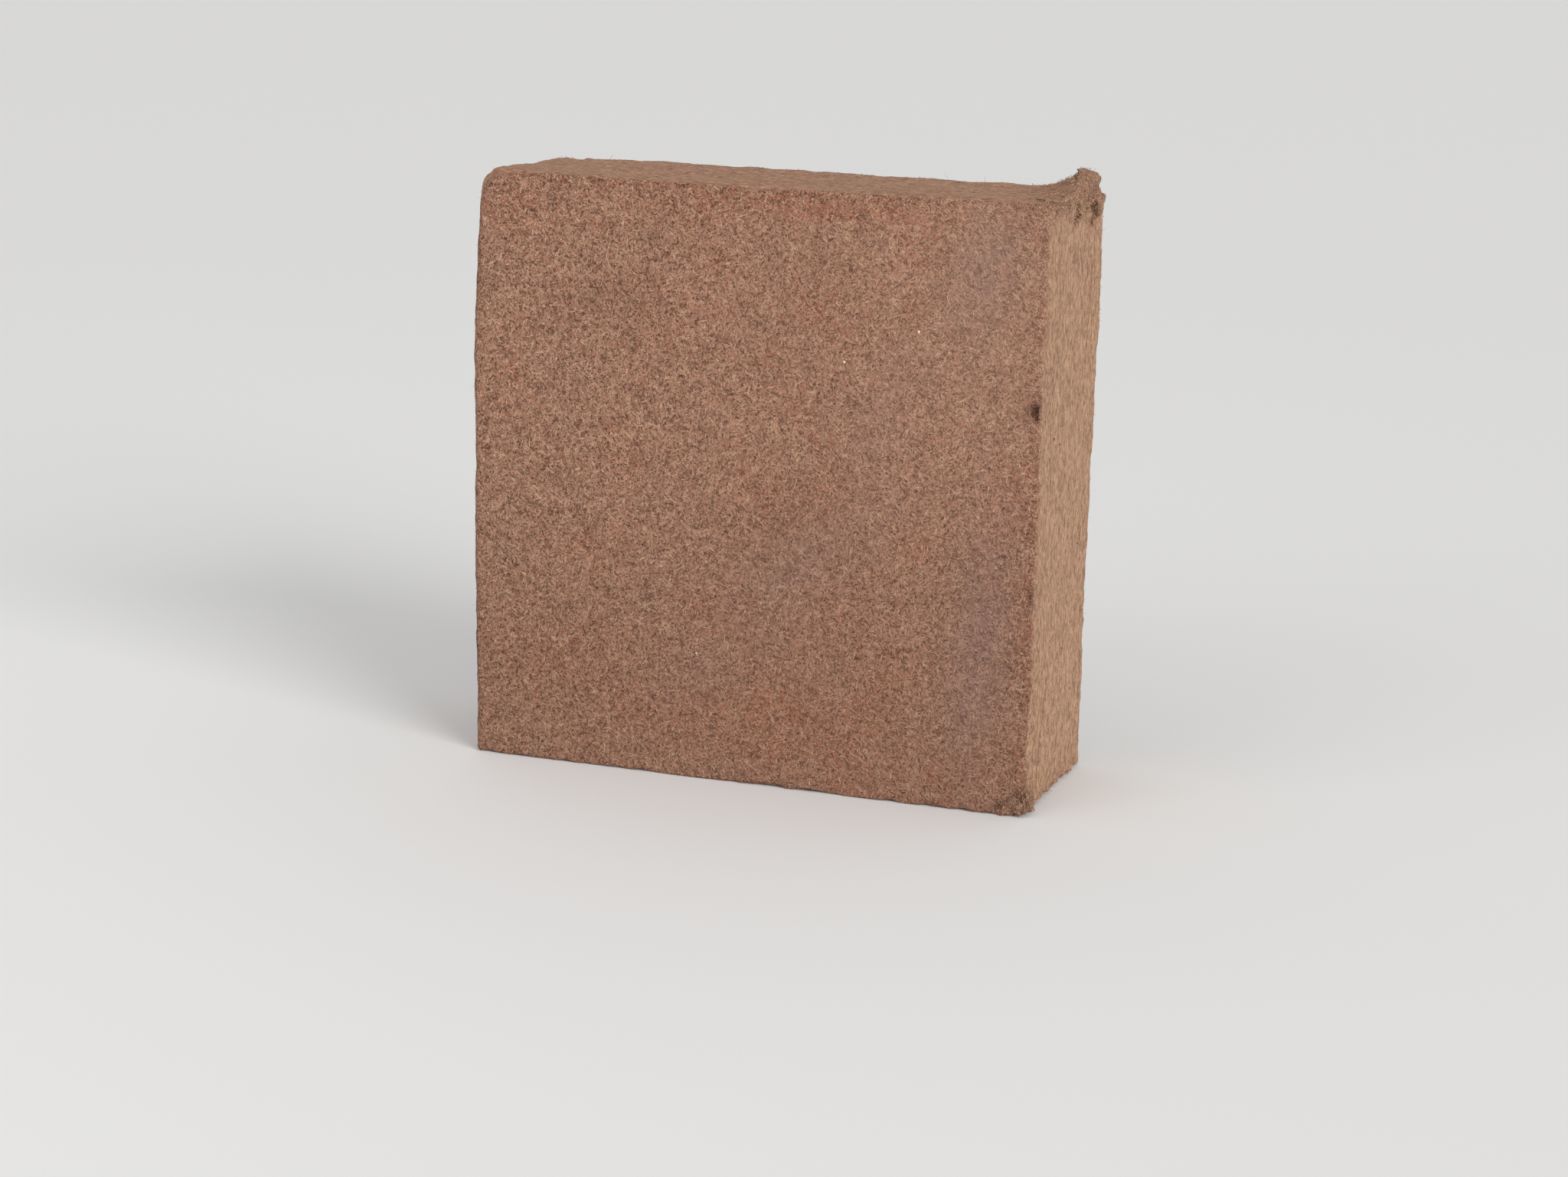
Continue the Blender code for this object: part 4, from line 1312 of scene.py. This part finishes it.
    def hairs(self, rng, shape, count, material):
        """Pale hairs and curls that lie loosely on the big faces: arcs of nine places with four sides."""
        half = half_size(shape)
        starts = []
        headings = []
        lengths = []
        bends = []
        for (x0, z0), (x1, z1), bend in FRONT_HAIRS:
            starts.append((x0, z0 - half[2]))
            headings.append(math.atan2(z1 - z0, x1 - x0))
            lengths.append(math.hypot(x1 - x0, z1 - z0) * (1 + abs(bend)))
            bends.append(bend * 6)
        loose = scattered(rng, count, half[0], half[2], 0.010)
        sides = [(1, -1)] * len(starts) + [(1, -1) if i % 2 else (1, 1) for i in range(count)]
        starts = np.concatenate([starts, loose])
        headings = np.concatenate([headings, rng.uniform(0, 2 * math.pi, count)])
        lengths = np.concatenate([lengths, sizes_about(rng, count, 0.0038, 0.1, 0.45, 0.014)])
        bends = np.concatenate([bends, rng.normal(0, 2.4, count)])
        flat = bent_run(starts, headings, lengths, bends, 9)
        share = np.linspace(0, 1, 9)
        lift = 0.00035 * np.sin(math.pi * share) ** 2 + 0.00010 * np.sin(5 * math.pi * share)
        radius = 0.00015 * np.sin(math.pi * np.linspace(0.06, 0.94, 9))[None]
        points = []
        for number, (axis, side) in enumerate(sides):
            path, up = lying_strands(flat[number : number + 1], axis, side, lift[None], shape)
            points.append(strand_points(path, radius, up, 4, 0.9))
        total = len(sides)
        tint = np.repeat(rng.uniform(0.90, 1.30, total), 2 + 7 * 4)
        mesh_piece("loose_hairs", np.concatenate(points), strand_faces(total, 7, 4), material, {"tint": tint})


# The photograph's camera stood here, in metres from the middle of the bale's foot
CAMERA_PLACE = Vector((0.5239, -1.4779, 0.4341))
CAMERA_HEADING = 19.45  # degrees, to the left of straight ahead
CAMERA_PITCH = 12.30  # degrees, downwards
CAMERA_ROLL = 1.50
CAMERA_LENS = 70.0
FLOOR_REACH = 40.0


def camera_turn():
    """Columns are the camera's right, up and backward directions: turned by heading, pitch, then roll."""
    heading, pitch, roll = (math.radians(a) for a in (CAMERA_HEADING, CAMERA_PITCH, CAMERA_ROLL))
    ahead = Vector((-math.sin(heading), math.cos(heading), 0))
    forward = ahead * math.cos(pitch) - Vector((0, 0, math.sin(pitch)))
    level = Vector((math.cos(heading), math.sin(heading), 0))
    over = level.cross(forward)
    right = level * math.cos(roll) + over * math.sin(roll)
    up = right.cross(forward)
    return Matrix((right, up, -forward)).transposed()


class COIR_OT_stage(bpy.types.Operator):
    """Sets up the pale floor, the soft light and the camera"""

    bl_idname = "coir.stage"
    bl_label = "Floor, light and camera"

    def execute(self, context):
        scene = context.scene
        self.floor(scene)
        self.far_light("key", (2.0, -1.3, 1.1), (0.05, 0, 0.16), 32.0, 2.05, (1.0, 0.98, 0.94))
        self.area_light("fill", (-0.9, -1.9, 1.3), (0, 0, 0.22), 1.4, 9.2, (0.99, 0.99, 0.98))
        world = bpy.data.worlds.new("soft_studio")
        world.use_nodes = True
        world.node_tree.nodes["Background"].inputs["Color"].default_value = (1.0, 0.985, 0.96, 1)
        world.node_tree.nodes["Background"].inputs["Strength"].default_value = 0.60
        scene.world = world
        scene.view_settings.view_transform = "Standard"

        camera = bpy.data.cameras.new("camera")
        camera.lens = CAMERA_LENS
        camera.sensor_width = 36
        camera.clip_start = 0.01
        holder = bpy.data.objects.new("camera", camera)
        holder.matrix_world = Matrix.Translation(CAMERA_PLACE) @ camera_turn().to_4x4()
        scene.collection.objects.link(holder)
        scene.camera = holder
        return {"FINISHED"}

    def floor(self, scene):
        """A wide pale sheet on the ground."""
        mesh = bpy.data.meshes.new("floor")
        corners = [(x * FLOOR_REACH, y * FLOOR_REACH, 0) for x, y in ((-1, -1), (1, -1), (1, 1), (-1, 1))]
        mesh.from_pydata(corners, [], [(0, 1, 2, 3)])
        material = bpy.data.materials.new("pale_floor")
        material.use_nodes = True
        shader = material.node_tree.nodes["Principled BSDF"]
        shader.inputs["Base Color"].default_value = (0.82, 0.83, 0.845, 1)
        shader.inputs["Roughness"].default_value = 0.8
        mesh.materials.append(material)
        floor = bpy.data.objects.new("floor", mesh)
        scene.collection.objects.link(floor)

    def far_light(self, name, place, target, angle, strength, colour):
        """A broad soft light, so far off that it lights the floor evenly; its angle is in degrees."""
        light = bpy.data.lights.new(name, "SUN")
        light.angle = math.radians(angle)
        self.aimed(light, name, place, target, strength, colour)

    def area_light(self, name, place, target, size, power, colour):
        """A square soft light at a place."""
        light = bpy.data.lights.new(name, "AREA")
        light.size = size
        self.aimed(light, name, place, target, power, colour)

    def aimed(self, light, name, place, target, energy, colour):
        """Puts a light at its place, aimed at a target."""
        light.energy = energy
        light.color = colour
        holder = bpy.data.objects.new(name, light)
        holder.location = place
        aim = Vector(target) - Vector(place)
        holder.rotation_euler = aim.to_track_quat("-Z", "Y").to_euler()
        bpy.context.scene.collection.objects.link(holder)


class COIR_PT_sidebar(bpy.types.Panel):
    """Lists the bale's pieces and sizes"""

    bl_idname = "COIR_PT_sidebar"
    bl_label = "Coir Bale"
    bl_space_type = "VIEW_3D"
    bl_region_type = "UI"
    bl_category = "Coir Bale"

    def draw(self, context):
        for settings in (context.scene.coir_shape, context.scene.coir_cover, context.scene.coir_colours):
            for key in settings.__annotations__:
                self.layout.prop(settings, key)
        for operator in OPERATORS:
            self.layout.operator(operator.bl_idname)


OPERATORS = (COIR_OT_slab, COIR_OT_flecks, COIR_OT_crumbs, COIR_OT_fringe, COIR_OT_stage)
CLASSES = (CoirShape, CoirCover, CoirColours, *OPERATORS, COIR_PT_sidebar)


def register():
    for each in CLASSES:
        bpy.utils.register_class(each)
    bpy.types.Scene.coir_shape = bpy.props.PointerProperty(type=CoirShape)
    bpy.types.Scene.coir_cover = bpy.props.PointerProperty(type=CoirCover)
    bpy.types.Scene.coir_colours = bpy.props.PointerProperty(type=CoirColours)


def unregister():
    del bpy.types.Scene.coir_colours
    del bpy.types.Scene.coir_cover
    del bpy.types.Scene.coir_shape
    for each in reversed(CLASSES):
        bpy.utils.unregister_class(each)


def main():
    """Makes every piece in order, then the floor, the light and the camera."""
    register()
    bpy.ops.coir.slab()
    bpy.ops.coir.flecks()
    bpy.ops.coir.crumbs()
    bpy.ops.coir.fringe()
    bpy.ops.coir.stage()


if __name__ == "__main__":
    main()
